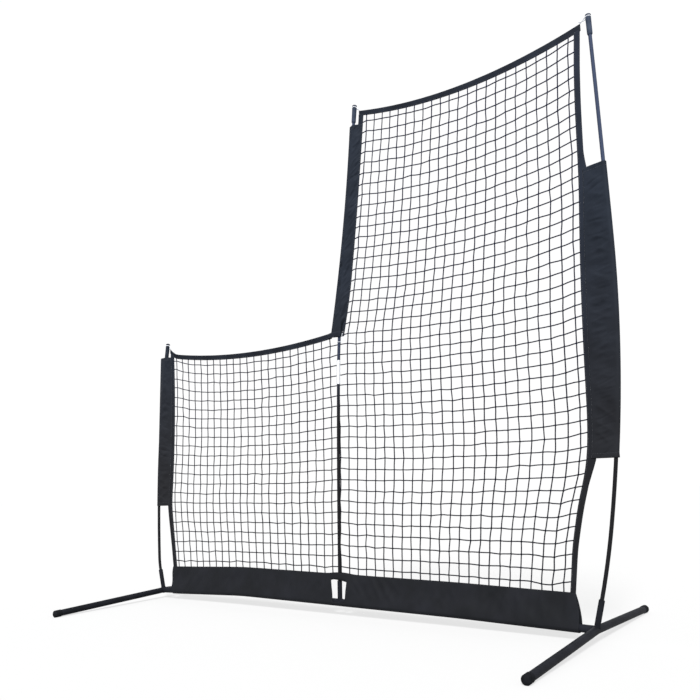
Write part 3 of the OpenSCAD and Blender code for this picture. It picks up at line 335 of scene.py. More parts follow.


# %% [markdown]
# **Oxford cloth** is a plain basket weave of polyester, coated on its inside. Real threads lie 0.5 mm
# apart, too fine to show, so they are drawn 3.2 mm apart: two waves at right angles, one level and one
# upright, multiplied together. Polyester fibres catch the light at a low angle, which is what sheen does.
# The cloth is drawn near black and neutral by the ground and navy higher up, so the tones change with
# height: painted light, the bluish light from above that the higher cloth catches.

# %% Woven oxford cloth
THREAD_GAP = 3.2057 * MM
WEAVE_TURN = math.radians(20)      # so that the level wave also crosses cloth that faces sideways


def oxford_cloth(name, tones, specular=0.03, sheen=0.015):
    material, tree, bsdf, place = new_material(
        name, 0.62, Specular_IOR_Level=specular, Sheen_Weight=sheen, Sheen_Roughness=0.45,
        Sheen_Tint=colour("#aab4c8"))
    turned = add(tree, "ShaderNodeMapping", inputs={"Vector": place, "Rotation": (0.0, 0.0, WEAVE_TURN)})
    threads = []
    for way in ("X", "Z"):
        wave = add(tree, "ShaderNodeTexWave", {"bands_direction": way},
                   {"Vector": turned.outputs[0], "Scale": 0.1 * math.pi / THREAD_GAP, "Distortion": 0.6,
                    "Detail": 1.0})
        threads.append(wave.outputs["Fac"])
    weave = add(tree, "ShaderNodeMath", {"operation": "MULTIPLY"}, {0: threads[0], 1: threads[1]})
    broad = add(tree, "ShaderNodeTexNoise",
                inputs={"Vector": place, "Scale": 1 / (111.11 * MM), "Detail": 4.0, "Roughness": 0.6})
    both = add(tree, "ShaderNodeMath", {"operation": "MULTIPLY_ADD"},
               {0: weave.outputs[0], 1: 0.25, 2: broad.outputs["Fac"]})
    # between 0.4 m and 1.6 m a second pair of tones takes over: painted light, lighter and bluer higher up
    shade = tones_by_height(tree, place, both.outputs[0], tones, (0.4, 1.6), (0.35, 0.85))
    end_material(tree, bsdf, shade, weave.outputs[0], 0.2 * MM, 0.6)
    return material


# where a second pair of tones is given, it is painted light: the higher cloth is drawn lighter and bluer
cloth = oxford_cloth("woven_oxford_cloth", [("#19191b", "#1f2023"), ("#191d24", "#222730")])
tape = oxford_cloth("woven_binding_tape", [("#161618", "#1c1d20"), ("#191d25", "#222731")])
top_tape = oxford_cloth("woven_top_tape", [("#0f1114", "#181a1f"), ("#0c0f15", "#1d222b")], 0.06, 0.02)
skirt_cloth = oxford_cloth("coated_oxford_cloth", [("#151618", "#1a1b1f")])


# %% [markdown]
# ** Net twine** is knotless, braided from polyester and dyed. Like the cloth, it is drawn nearly black by
# the ground and navy higher up, which is painted light: the bluish light from above that the higher net
# catches. **Elastic** is rubber in a white braid. A wave across each cord stands for the braid, drawn
# coarser than the real one, which is too fine to show.

# %% Braided cords
def braid(name, tones, gap, roughness, sheen):
    """A cord's finish; the gap is from one pick of the braid to the next, along X, Y or Z."""
    material, tree, bsdf, place = new_material(name, roughness, Specular_IOR_Level=0.15, Sheen_Weight=sheen)
    wave = add(tree, "ShaderNodeTexWave", {"bands_direction": "DIAGONAL"},
               {"Vector": place, "Scale": 0.2 * math.pi / gap, "Distortion": 1.0})
    # a second pair of tones takes over between 0.1 m and 2.1 m: painted light, lighter and bluer higher up
    shade = tones_by_height(tree, place, wave.outputs["Fac"], tones, (0.1, 2.1), (0.1, 0.9))
    end_material(tree, bsdf, shade, wave.outputs["Fac"], 0.3 * MM, 0.7)
    return material


# the twine's second pair of tones is painted light, navy higher up
twine = braid("braided_net_twine", [("#05060d", "#0d101b"), ("#080b1b", "#111832")], 15.708 * MM, 0.75, 0.0)
elastic = braid("braided_elastic", [("#a9adb6", "#dcdfe4")], 7.854 * MM, 0.7, 0.2)
thread = braid("polyester_thread", [("#24262c", "#3e414a")], 3.927 * MM, 0.6, 0.3)
print("finishes:", len(bpy.data.materials))

# %% [markdown]
# ## The ready-made solids
# Tubes, sockets, poles, caps and buttons already have their true shape, so each only gets its finish.

# %% Finishes on the solids
SOLID_SHARP = math.radians(35)      # an edge that bends more than this stays sharp
FINISH = {
    "foot_tube": steel, "foot_stub": steel, "pole_socket": steel, "crossbar": steel,
    "foot_cap": rubber, "button_spring": spring_steel, "button": nickel, "eyelet": nickel,
    "ferrule": aluminium, "pole_cap": nylon, "pole": rod,
}


def finish_for(name):
    if name.endswith("loop"):
        return elastic
    return next((FINISH[word] for word in FINISH if word in name), cloth)


for name, solid in nodes.items():
    solid.data.materials.clear()
    solid.data.materials.append(finish_for(name))
    solid.data.shade_smooth()
    solid.data.set_sharp_from_angle(angle=SOLID_SHARP)
print("finished solids:", len(nodes))


# %% [markdown]
# ## Tools for making pieces
# A piece is points and faces from a rule, or a Geometry Nodes tree that repeats a small shape along
# lines. The tree's result is turned into a plain mesh, so nothing is left that has to be computed later.

# %% Meshes
def make_object(name, points, faces, material, edges=(), sharp=60):
    mesh = bpy.data.meshes.new(name)
    mesh.from_pydata([tuple(p) for p in points], list(edges), list(faces))
    mesh.validate()
    if material:
        mesh.materials.append(material)
    if faces:
        mesh.shade_smooth()
        mesh.set_sharp_from_angle(angle=math.radians(sharp))
    obj = bpy.data.objects.new(name, mesh)
    bpy.context.scene.collection.objects.link(obj)
    return obj


def grid_faces(rows, across, ring=True, loop=False, ends=False):
    """Faces over rows of points. A ring joins each row's ends, and a loop joins the last row to the
    first. Ends closes the first and last ring with a face."""
    faces = []
    for i in range(rows if loop else rows - 1):
        j = (i + 1) % rows
        for s in range(across if ring else across - 1):
            t = (s + 1) % across
            faces.append((i * across + s, i * across + t, j * across + t, j * across + s))
    if ends:
        faces += [tuple(range(across))[::-1], tuple((rows - 1) * across + s for s in range(across))]
    return faces


def fix_normals(obj):
    bm = bmesh.new()
    bm.from_mesh(obj.data)
    bmesh.ops.remove_doubles(bm, verts=bm.verts, dist=1e-6)
    bmesh.ops.recalc_face_normals(bm, faces=bm.faces)
    bm.to_mesh(obj.data)
    bm.free()


def mount(obj, slot, *solids):
    """Hangs a piece on the frame's one body, and hides the solids that it stands for. The slot is not used.
    """
    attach(obj, ROOT)
    if solids:
        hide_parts(*solids)


CLOTH = 0.9 * MM      # drawn a little thicker than the real 0.4 mm, so that a cut edge shows


def add_wall(obj):
    """Gives a sheet the thickness of its cloth, inwards."""
    wall = obj.modifiers.new("wall", "SOLIDIFY")
    wall.thickness, wall.offset = CLOTH, -1


# %% Node trees
def geometry_tree(name, sizes):
    tree = bpy.data.node_groups.new(name, "GeometryNodeTree")
    tree.interface.new_socket("Geometry", in_out="INPUT", socket_type="NodeSocketGeometry")
    for label in sizes:
        tree.interface.new_socket(label, in_out="INPUT", socket_type="NodeSocketFloat")
    tree.interface.new_socket("Geometry", in_out="OUTPUT", socket_type="NodeSocketGeometry")
    return tree, add(tree, "NodeGroupInput").outputs


def end_tree(tree, geometry, material):
    """Instances are made real, smooth and get their material, and the result leaves the tree."""
    real = add(tree, "GeometryNodeRealizeInstances", inputs={"Geometry": geometry})
    even = add(tree, "GeometryNodeSetShadeSmooth", inputs={0: real.outputs[0]})
    dressed = add(tree, "GeometryNodeSetMaterial", inputs={"Geometry": even.outputs[0], "Material": material})
    add(tree, "NodeGroupOutput", inputs={"Geometry": dressed.outputs[0]})


def bake(obj, tree, sizes):
    """Runs a tree on an object and keeps its result as the object's plain mesh."""
    modifier = obj.modifiers.new(tree.name, "NODES")
    modifier.node_group = tree
    for item in tree.interface.items_tree:
        if item.in_out == "INPUT" and item.name in sizes:
            modifier[item.identifier] = float(sizes[item.name])
    depsgraph = bpy.context.evaluated_depsgraph_get()
    mesh = bpy.data.meshes.new_from_object(obj.evaluated_get(depsgraph), depsgraph=depsgraph)
    obj.modifiers.clear()
    obj.data = mesh
    mesh.name = obj.name
    return obj


def chain(lines):
    """Joins rows of points into one set of points and the edges along each row."""
    points, edges = [], []
    for line in lines:
        start = len(points)
        points += [tuple(p) for p in line]
        edges += [(i, i + 1) for i in range(start, len(points) - 1)]
    return points, edges


# %% [markdown]
# ## The net
# The net is one cloth of square meshes, about 44 mm from cord to cord. Stretched between the bands, its cords
# are no straight grid: the upright cords crowd together at the foot, fan out with the sides, and lean with
# the step, and the level cords copy the curve of the top bands. So each crossing is found by its count:
# the number of its upright cord, k, and of its level cord, j.

# %% The lattice of crossings
PITCH = 43.6 * MM
CORD_D = 4.6 * MM                   # real twine is about 2.8 mm, but thin dark lines fade against white
KNOT_LENGTH = 3.9 * MM
CORD_0_X = MIDDLE_X + 78.2 * MM     # the first upright cord right of the middle pole
CORD_0_GAP = 22 * MM                # how far that cord stays from the step band
FIRST_K, LAST_K = -24, 22
EVEN_Z = 0.72                       # height at which the upright cords are evenly spaced
PULL_FADE = 2.7                     # the power by which a side's pull dies out across the net
LEAN_Z, LEAN_OVER = 0.95, 0.03      # where cords start to lean, and how far over the step they lean fully
LOWEST_GAP = 24 * MM                # from the skirt's seam to the lowest level cord
BREAKS = (-0.6, 22, 33, 60)         # the rows where the pitch of the level cords changes
ROW_PITCHES = (43.2 * MM, 45.0 * MM, 46.6 * MM)
LOW_ROWS, TALL_ROWS = 21.78, 42.58  # level cords below each top band, parts of a mesh included
TUCK = 4 * MM                       # how far a cord runs on inside a band
STEP_Z = step_edge.start
SKIRT_H = 106.5 * MM                # from the crossbar's axis to the skirt's seam
POLE_LIFT = 6 * MM                  # how far the middle pole lifts the skirt's seam
pole_x = MIDDLE_X + 24 * MM         # the middle pole, where it goes through the skirt


def loose_height(j):
    """How far level cord j lies above the skirt's seam in the loose cloth."""
    heights = np.cumsum([0, *np.diff(BREAKS) * ROW_PITCHES])
    return LOWEST_GAP + BREAKS[0] * ROW_PITCHES[0] + np.interp(j, BREAKS, heights)


def seam_height(x):
    """The skirt's upper edge, which the middle pole lifts a little."""
    return float(crossbar.middle(x)) + SKIRT_H + POLE_LIFT * fade(x - pole_x, 30 * MM)


def cord_x(k, z):
    """Where upright cord k is at height z: pulled by both sides, and above the step leaning with it."""
    x = CORD_0_X + k * PITCH
    left, right = left_edge.high(EVEN_Z), right_edge.low(EVEN_Z)
    left_pull, right_pull = left_edge.high(z) - left, right_edge.low(z) - right
    share = (x - left) / (right - left)
    low = x + left_pull * (1 - share) ** PULL_FADE + right_pull * share**PULL_FADE
    lean = step_edge.high(max(z, STEP_Z)) + CORD_0_GAP - CORD_0_X
    ease = clamp((z - LEAN_Z) / (STEP_Z + LEAN_OVER - LEAN_Z))
    ease = ease * ease * (3 - 2 * ease)
    if k < 0:
        return low + lean * ease * math.exp(k / 1.5) * 0.6
    tall_share = k / (LAST_K + 0.57)
    high = x + lean * (1 - tall_share) + right_pull * tall_share
    return low + (high - low) * ease


def lattice_frame(k):
    """The heights of the seam and of the top band on upright cord k, and the rows between them. A cord's
    place depends on its height there, so it is first guessed at a height near the seam or the band."""
    foot = seam_height(cord_x(k, 0.15))
    if k < 0:
        x = min(cord_x(k, low_top.low(cord_x(k, 1.1))), low_top.end - 1 * MM)
        return foot, float(low_top.low(x)), LOW_ROWS + 0.01 * k
    return foot, float(tall_top.low(cord_x(k, tall_top.low(cord_x(k, 2.05))))), TALL_ROWS


rng = np.random.default_rng(11)


def crossing(k, j):
    foot, top, rows = lattice_frame(k)
    z = foot + (top - foot) * float(loose_height(j) / loose_height(rows))
    x = cord_x(k, z)
    from_right = max(right_edge.low(z) - x, 0)
    low_down = clamp((0.75 - z) / 0.45)
    # the right pole pulls the rows' ends up, and low down the net sags beside them
    z += 12 * MM * fade(from_right, 40 * MM, 1)
    z -= 7 * MM * low_down * fade(from_right - 72 * MM, 42 * MM)
    # the left pole does the same, more so high up
    from_left = max(x - left_edge.high(z), 0)
    high_up = clamp((z - 0.7) / 0.35)
    z += (4 + 9 * high_up) * MM * fade(from_left, 95 * MM, 3) * min(1, z / 0.6)
    z -= 5 * MM * fade(from_left, 22 * MM, 1) * (1 - high_up)
    # small irregularities: a crossing is out of place, a row waves, and the cloth swells out of its plane
    loose = min(1.0, 0.4 + 0.6 * abs(rows - j)) * (1 + 1.3 * fade(from_left, 80 * MM, 1))
    dx, dz = rng.normal(0, 1.1 * MM, 2) * loose
    dz += 2.0 * MM * noise_at(k * 0.8, j * 0.25, 9.0)
    swell = (1.5 + 2.5 * noise_at(k * 0.35, j * 0.35, 3.0)) * MM
    return Vector((x + dx, NET_Y + swell * min(1, max(0, rows - j) / 3) * min(1, (j + 1) / 3), z + dz))


def row_count(k):
    return int(math.ceil(lattice_frame(k)[2]))


columns = {k: [crossing(k, j) for j in range(row_count(k))] for k in range(FIRST_K, LAST_K + 1)}
print("crossings:", sum(len(c) for c in columns.values()))


# %% [markdown]
# Each cord is a row of points that goes on a little way into the bands at both ends. An upright cord
# and a level cord pass through the same crossing, and a small flat lump of twine covers it, as where the
# braids of a knotless net run through each other.

# %% Cords through the crossings
def upright_cord(k):
    foot, top, _ = lattice_frame(k)
    down = Vector((cord_x(k, foot), NET_Y, foot - TUCK))
    up = Vector((cord_x(k, top), NET_Y, top + TUCK))
    return [down, *columns[k], up]


def level_cord(j, first, last):
    return [columns[k][j] for k in range(first, last + 1) if j < len(columns[k])]


def end_at(point, edge, lift, tuck):
    """The point where a level cord goes into a side band."""
    z = point.z + lift
    return Vector((float(edge(z)) + tuck, NET_Y, z))


def fine(line, wiggle, seed):
    """Adds points between the crossings, with the slight bends of limp cord."""
    out = []
    for i, (a, b) in enumerate(zip(line, line[1:])):
        out.append(a)
        across = (b - a).cross(Vector((0, 1, 0))).normalized()
        for part in (1 / 3, 2 / 3):
            bend = wiggle * noise_at(seed * 3.7, i + part, 5.0)
            out.append(a.lerp(b, part) + across * bend)
    return out + [line[-1]]


UPRIGHT_WIGGLE, LEVEL_WIGGLE = 1.2 * MM, 1.8 * MM
low_lines, tall_lines, low_knots, tall_knots = [], [], [], []
for k, line in columns.items():
    (low_lines if k < 0 else tall_lines).append(fine(upright_cord(k), UPRIGHT_WIGGLE, k))
    (low_knots if k < 0 else tall_knots).extend(line)
for j in range(row_count(LAST_K)):
    tall_line = [*level_cord(j, 0, LAST_K), end_at(columns[LAST_K][j], right_edge.low, 4 * MM, TUCK)]
    if j < row_count(-1):
        left_end = end_at(columns[FIRST_K][j], left_edge.high, 2 * MM, -TUCK)
        low_line = [left_end, *level_cord(j, FIRST_K, -1), columns[0][j]]
        low_lines.append(fine(low_line, LEVEL_WIGGLE, 60 + j))
    else:
        tall_line.insert(0, end_at(columns[0][j], step_edge.high, -5 * MM, -TUCK))
    tall_lines.append(fine(tall_line, LEVEL_WIGGLE, 120 + j))


# %% Twine from a node tree
def net_tree():
    tree, given = geometry_tree("net_of_twine", ["Cord diameter", "Knot length"])
    is_knot = add(tree, "GeometryNodeInputNamedAttribute", {"data_type": "BOOLEAN"}, {"Name": "is_knot"})
    parts = add(tree, "GeometryNodeSeparateGeometry", {"domain": "POINT"},
                {"Geometry": given["Geometry"], "Selection": is_knot.outputs["Attribute"]})
    curve = add(tree, "GeometryNodeMeshToCurve", inputs={"Mesh": parts.outputs["Inverted"]})
    radius = add(tree, "ShaderNodeMath", {"operation": "MULTIPLY"}, {0: given["Cord diameter"], 1: 0.5})
    ring = add(tree, "GeometryNodeCurvePrimitiveCircle",
               inputs={"Resolution": 6, "Radius": radius.outputs[0]})
    tubes = add(tree, "GeometryNodeCurveToMesh",
                inputs={"Curve": curve.outputs[0], "Profile Curve": ring.outputs[0], "Fill Caps": True})
    lump = add(tree, "GeometryNodeMeshUVSphere", inputs={"Segments": 6, "Rings": 4, "Radius": 1.0})
    flat = add(tree, "ShaderNodeCombineXYZ",
               inputs={"X": given["Knot length"], "Y": radius.outputs[0], "Z": given["Knot length"]})
    knots = add(tree, "GeometryNodeInstanceOnPoints",
                inputs={"Points": parts.outputs["Selection"], "Instance": lump.outputs[0],
                        "Scale": flat.outputs[0]})
    both = add(tree, "GeometryNodeJoinGeometry", inputs={0: tubes.outputs[0]})
    tree.links.new(knots.outputs[0], both.inputs[0])
    end_tree(tree, both.outputs[0], twine)
    return tree


crossings = {tuple(point) for line in columns.values() for point in line}
TIP, NECK = 0.12, 0.8      # shares of the thickness at a cord's end and just before it


def thickness_of(line):
    """Each point's share of the full thickness: a cord is pressed flat where it goes into a band."""
    shares = np.ones(len(line), np.float32)
    for tip, neck in ((0, 1), (-1, -2)):
        if tuple(line[tip]) not in crossings:
            shares[[tip, neck]] = TIP, NECK
    return shares


def make_net(solid, lines, knots, tree):
    points, edges = chain(lines)
    cords = len(points)
    obj = make_object(f"{solid}_twine", points + [tuple(p) for p in knots], [], None, edges)
    mark = obj.data.attributes.new("is_knot", "BOOLEAN", "POINT")
    mark.data.foreach_set("value", [i >= cords for i in range(cords + len(knots))])
    thickness = np.concatenate([thickness_of(line) for line in lines] + [np.ones(len(knots), np.float32)])
    obj.data.attributes.new("radius", "FLOAT", "POINT").data.foreach_set("value", thickness)
    bake(obj, tree, {"Cord diameter": CORD_D, "Knot length": KNOT_LENGTH})
    mount(obj, "net_cord", solid)
    print(obj.name, "faces:", len(obj.data.polygons))


tree = net_tree()
make_net("low_net", low_lines, low_knots, tree)
make_net("tall_net", tall_lines, tall_knots, tree)


# %% [markdown]
# ## The edge bands
# A band of woven tape, 22 mm wide once folded, is sewn over the net's raw edge. A flat strip would look
# cut from paper, so its cross-section is a real fold: two layers that part a little at the open side, a
# round fold at the outer side, and small puckers where the thread draws the cloth in. The step band lies
# under its sleeve and has the sleeve's cloth.

# %% Folded bands
# half of the fold, as shares of its width and of its thickness, from the open side to the fold
FOLD = [
    (0.0, 0.35), (0.02, 0.8), (0.07, 0.92), (0.18, 0.78), (0.35, 0.96), (0.6, 1.0), (0.85, 0.97), (0.96, 0.75)
]
FOLD_SECTION = [
    *((u, -BAND_HALF * y) for u, y in FOLD), (1.0, 0.0), *((u, BAND_HALF * y) for u, y in reversed(FOLD)),
    (0.12, 0.0),
]
STATION = 6 * MM      # distance between the sections of a band
PUCKER, PUCKER_LENGTH = 0.35 * MM, 9 * MM     # cloth that the thread draws in
DRIFT, DRIFT_LENGTH = 0.5 * MM, 60 * MM       # the fold's slow wander to the front and the rear
seams = []            # rows of points that a needle has followed


def band(name, open_side, fold_side, seed, material):
    """A folded strip between two lines in the plane of the net."""
    points, length = [], 0.0
    for i, (a, b) in enumerate(zip(open_side, fold_side)):
        if i:
            length += (Vector(b) - Vector(fold_side[i - 1])).length
        pucker = PUCKER * noise_at(length / PUCKER_LENGTH, seed, 0)
        drift = DRIFT * noise_at(length / DRIFT_LENGTH, seed, 4)
        press = 1 - abs(pucker) / BAND_HALF * 0.5
        for u, y in FOLD_SECTION:
            x, z = a[0] + u * (b[0] - a[0]), a[1] + u * (b[1] - a[1])
            points.append((x, NET_Y + y * press + drift * u, z + pucker * u * 0.6))
    m, n = len(FOLD_SECTION), len(open_side)
    grid = np.array(points).reshape(n, m, 3)
    for column, side in ((3, -1), (m - 5, 1)):
        seams.append(grid[1:-1, column] + (0, side * 0.3 * MM, 0))
    obj = make_object(f"{name}_band", points, grid_faces(n, m, ends=True), material)
    fix_normals(obj)
    mount(obj, "cloth", f"{name}_binding")
    print(obj.name, "length:", round(length, 3), "m")


def side_band(name, edge, open_high, reach, wider, narrower, seed, flares=(), material=tape):
    """An upright band. Cloth is never quite even: its open side is a little wider, or narrower low down.
    A flare is where the sleeve ends and its cloth pulls the fold outwards: (height, width, reach)."""
    open_side, fold_side = [], []
    for z in np.linspace(edge.start, edge.end + reach, int((edge.end - edge.start) / STATION)):
        low, high = float(edge.low(z)), float(edge.high(z))
        inner, outer, way = (high, low, 1) if open_high else (low, high, -1)
        extra = wider - narrower * clamp((0.45 - z) / 0.25)
        pull = sum(width * max(0.0, 1 - abs(z - height) / far) ** 1.5 for height, width, far in flares)
        open_side.append((inner + way * extra, z))
        fold_side.append((outer - way * pull, z))
    band(name, open_side, fold_side, seed, material)


def top_band(name, edge, wider, seed):
    """A level band, which gets wider towards its right end where the pull is strongest."""
    shares = dense_ends(int((edge.end - edge.start) / STATION))
    xs = edge.start + (edge.end - edge.start) * shares
    open_side = [(float(x), float(edge.low(x)) - wider * (0.3 + 0.7 * t)) for x, t in zip(xs, shares)]
    fold_side = [(float(x), float(edge.high(x)) + wider * 0.3 * t) for x, t in zip(xs, shares)]
    band(name, open_side, fold_side, seed, top_tape)


side_band("left_side", left_edge, True, 22 * MM, 4 * MM, 0, 0, [(0.43, 6 * MM, 0.25)])
side_band("step_side", step_edge, True, 9 * MM, 3.5 * MM, 0, 1, material=cloth)
side_band("right_side", right_edge, False, 6 * MM, 0.5 * MM, 3.5 * MM, 2,
          [(1.573, 8 * MM, 0.07), (0.57, 11 * MM, 0.09)])
top_band("low_top", low_top, 2.5 * MM, 3)
top_band("tall_top", tall_top, 4.5 * MM, 4)


# %% [markdown]
# ## The pole sleeves
# A sleeve is a strip of oxford cloth that goes round the pole and is sewn to the band on both faces; the
# step sleeve covers its band, up to the net. Where it is taut it lies like a string pulled round a peg, so
# each level cross-section is the convex hull of the pole, the seam and the fold. A cloth simulation would
# find the same shape, and then it would only add the creases. Here they are added straight away: ripples
# and thin pinched creases towards the seam and, on the step sleeve, towards the fold too, slanting there.

# %% Taut loops of cloth
FRONT, REAR = 34, 24  # points of a section before and behind the pole


def hull(points):
    """The convex hull of flat points, going round to the left."""
    points = sorted(set(points))

    def half(row):
        out = []
        for p in row:
            while len(out) > 1 and cross(out[-2], out[-1], p) <= 0:
                out.pop()
            out.append(p)
        return out[:-1]

    def cross(o, a, b):
        return (a[0] - o[0]) * (b[1] - o[1]) - (a[1] - o[1]) * (b[0] - o[0])

    return half(points) + half(points[::-1])


def circle(radius):
    """Points round a pole, whose axis is at 0, 0."""
    turn = np.linspace(0, 2 * math.pi, 96, endpoint=False)
    return [(radius * math.cos(t), radius * math.sin(t)) for t in turn]


def spread(line, count):
    """The same line with evenly spaced points."""
    line = np.array(line)
    far = np.concatenate([[0], np.cumsum(np.linalg.norm(np.diff(line, axis=0), axis=1))])
    at = np.linspace(0, far[-1], count)
    return np.stack([np.interp(at, far, line[:, i]) for i in (0, 1)], 1)


def taut_ring(radius, seam, fold, front_y, rear_y):
    """From the rear seam round the fold to the front seam; the pole's axis is at 0, 0."""
    outer = (min(fold, -1.01 * radius), 0.0)

    def ring_with(y):
        """The hull with a seam point, which is moved out a little where the pole's curve hides it."""
        for lift in np.arange(0, 9, 0.3) * MM:
            ring = hull(circle(radius) + [(seam, y + lift), outer])
            if (seam, y + lift) in ring:
                return ring, ring.index((seam, y + lift)), ring.index(outer)
        raise ValueError("the seam lies inside the sleeve")

    ring, seam_at, fold_at = ring_with(rear_y)
    rear = (ring[seam_at:] + ring[:seam_at])[: (fold_at - seam_at) % len(ring) + 1]
    ring, seam_at, fold_at = ring_with(front_y)
    front = (ring[fold_at:] + ring[:fold_at])[: (seam_at - fold_at) % len(ring) + 1]
    return np.concatenate([spread(rear, REAR), spread(front, FRONT)[1:]])


def crease(z, t, seed, slack):
    """The cloth's height over its taut shape in mm: t runs from the pole, 0, to the seam, 1, or to the
    fold, -1. Ridges are where a noise crosses zero, and a nip is a narrow one that goes inwards."""
    broad = noise_at(t * 0.6 + seed * 5, z / (62 * MM) + 0.4 * t, 0.3)
    ridge = 0.45 - 2.2 * abs(noise_at(t * 0.5 + seed * 9, z / (50 * MM) - 0.8 * t, 7.1))
    drag = 0.4 - 2.2 * abs(noise_at(t * 0.9 + seed * 2, z / (27 * MM) + 0.5 * t, 11.3))
    small = noise_at(t * 1.6 + seed, z / (17 * MM) + 0.8 * t, 3.7)
    nip = max(0.0, 1 - 5 * abs(noise_at(t * 0.8 + seed * 4, z / (38 * MM) + 0.5 * t, 15.1)))
    wide_folds = 3.3 * math.tanh(1.1 * slack * (0.8 * broad + 0.5 * ridge))
    return 1.9 + wide_folds + min(slack, 2) * (1.3 * drag + 1.1 * small - 1.2 * nip)


# %% Sleeves over the poles
OVERLAP = 7 * MM      # how far a sleeve lies over the band that it is sewn to
SEAM_GAP = 0.5 * MM   # from the band's face to the sleeve's seam
SEAM_FROM, SEAM_RUN = 6 * MM, 18 * MM     # the cloth gets loose as its seam lies further from the pole,
FOLD_FROM, FOLD_RUN = 14 * MM, 14 * MM    # and so it does at its fold
PUSH_IN, PUSH_OUT = -2.4, 7.0             # limits of a crease, in mm
LEVEL_STEP = 3 * MM   # height between two cross-sections
HEM = 11 * MM         # a sleeve's turned-in end, which is stiffer and thicker
HEM_ROW = 5           # the section, counted from either end, that the hem's stitches follow


def sewn_sleeve(name, solid, pole, edge, fold_side, seed, slack, above=0.0, below=0.0,
                fold_slack=0.0, tilt=0.0, cover=0.0, overlap=OVERLAP):
    """A sleeve that runs on above and below its solid. Its fold is at the left, -1, or at the right, 1.
    Tilt slants the creases, and cover is the share of the band's width that the sleeve goes over."""
    shape, axis = Edges(solid, Z, X), Edges(pole, Z, X, times=2)
    seam_line, fold_line = (edge.low, shape.low) if fold_side < 0 else (edge.high, shape.high)
    levels = np.linspace(shape.start - below, shape.end + above, int((shape.end - shape.start) / LEVEL_STEP))
    radius = -min(cut(solid, Z, z, Y)[0] for z in levels[5:-15:15])
    front_y, rear_y = NET_Y - BAND_HALF - SEAM_GAP, NET_Y + BAND_HALF + SEAM_GAP
    points, total = [], 0.0
    for z in levels:
        at, up = float(axis.middle(z)), z - levels[0]
        seam, fold = (fold_side * (at - float(line(z))) for line in (seam_line, fold_line))
        seam += cover * float(edge.high(z) - edge.low(z)) * clamp(up / (45 * MM) - 0.7)
        wide = clamp((seam - SEAM_FROM) / SEAM_RUN)
        fold_wide = clamp((-fold - FOLD_FROM) / FOLD_RUN) * clamp(up / (60 * MM) - 0.4)
        ring = taut_ring(radius, seam, fold, front_y, rear_y)
        inward = ring[[0, -1]] + (overlap * max(wide, 0.35), 0)
        ring = np.concatenate([inward[:1], ring, inward[1:]])
        total += np.linalg.norm(np.diff(ring, axis=0), axis=1).sum() / len(levels)
        hem = min(1.0, min(up, levels[-1] - z) / HEM)
        thick = 0.4 * MM if hem < 1 else 0.0
        for i, (rx, ry) in enumerate(ring):
            if rx > 0:
                t = clamp(rx / max(seam, 1 * MM))
                loose = wide * math.sin(math.pi * t) ** 0.8
            else:
                t = -max(rx / min(fold, -1 * MM), 0.0)
                loose = fold_slack * fold_wide * math.sin(math.pi * min(-t, 1.0)) ** 1.6
            push = clamp(crease(z - tilt * rx, t, seed, slack), PUSH_IN, PUSH_OUT) * MM
            push *= loose * (0.35 + 0.65 * hem)
            outward = -1.0 if i > REAR else 1.0
            points.append((at - fold_side * rx, ry + outward * (push + thick), z))
    m, n = len(ring), len(levels)
    grid = np.array(points).reshape(n, m, 3)
    for column, side in ((0, 1), (m - 1, -1)):
        seams.append((grid[:, column] + (fold_side * 2 * MM, side * 0.25 * MM, 0))[1:-1])
    for level in (HEM_ROW, n - 1 - HEM_ROW):
        around = grid[level, 1:-1]
        seams.append(np.concatenate([around[:REAR] + (0, 0.3 * MM, 0), around[REAR:] - (0, 0.3 * MM, 0)]))
    faces = [f[::-fold_side] for f in grid_faces(n, m, ring=False)]
    obj = make_object(name, points, faces, cloth)
    add_wall(obj)
    mount(obj, "cloth", solid)
    print(name, "flat:", round(total, 3), "x", round(levels[-1] - levels[0], 3), "m")


sewn_sleeve("left_pole_sleeve", "left_sleeve", "left_pole", left_edge, -1, 1.0, 1.4, 14 * MM, 6 * MM)
sewn_sleeve("step_pole_sleeve", "step_sleeve", "middle_pole_upper", step_edge, -1, 2.0, 1.9, 3 * MM,
            fold_slack=1.5, tilt=1.5, cover=1.0, overlap=2.5 * MM)
sewn_sleeve("right_pole_sleeve", "right_sleeve", "right_pole_lower+right_pole_upper", right_edge, 1, 3.0, 1.7,
            below=17 * MM)


# %% [markdown]
# At the step corner the low panel's band runs on as a strap, over the foot of the step sleeve, and ends on
# the front of the pole. Pulled tight, its plan is again a hull: of its start, the sleeve's fold and the
# pole.

# %% The strap over the step corner
STRAP_THICK = 1.5 * MM
STRAP_R = 10.4 * MM                 # the round that it follows on the pole and its sleeve
STRAP_END = 8.0 * MM                # how far it goes on past the pole's axis
STRAP_DROP = 4.5 * MM               # how far its middle ends below the eyelet
STRAP_WIDTHS = 21.4 * MM, 24.0 * MM
# the strap's section: shares of its width, and of its thickness from the inside out
STRAP_SECTION = [
    (0.0, 0.4), (0.06, 1.0), (0.5, 1.0), (0.94, 1.0), (1.0, 0.4), (0.94, 0.0), (0.5, 0.0), (0.06, 0.0)
]


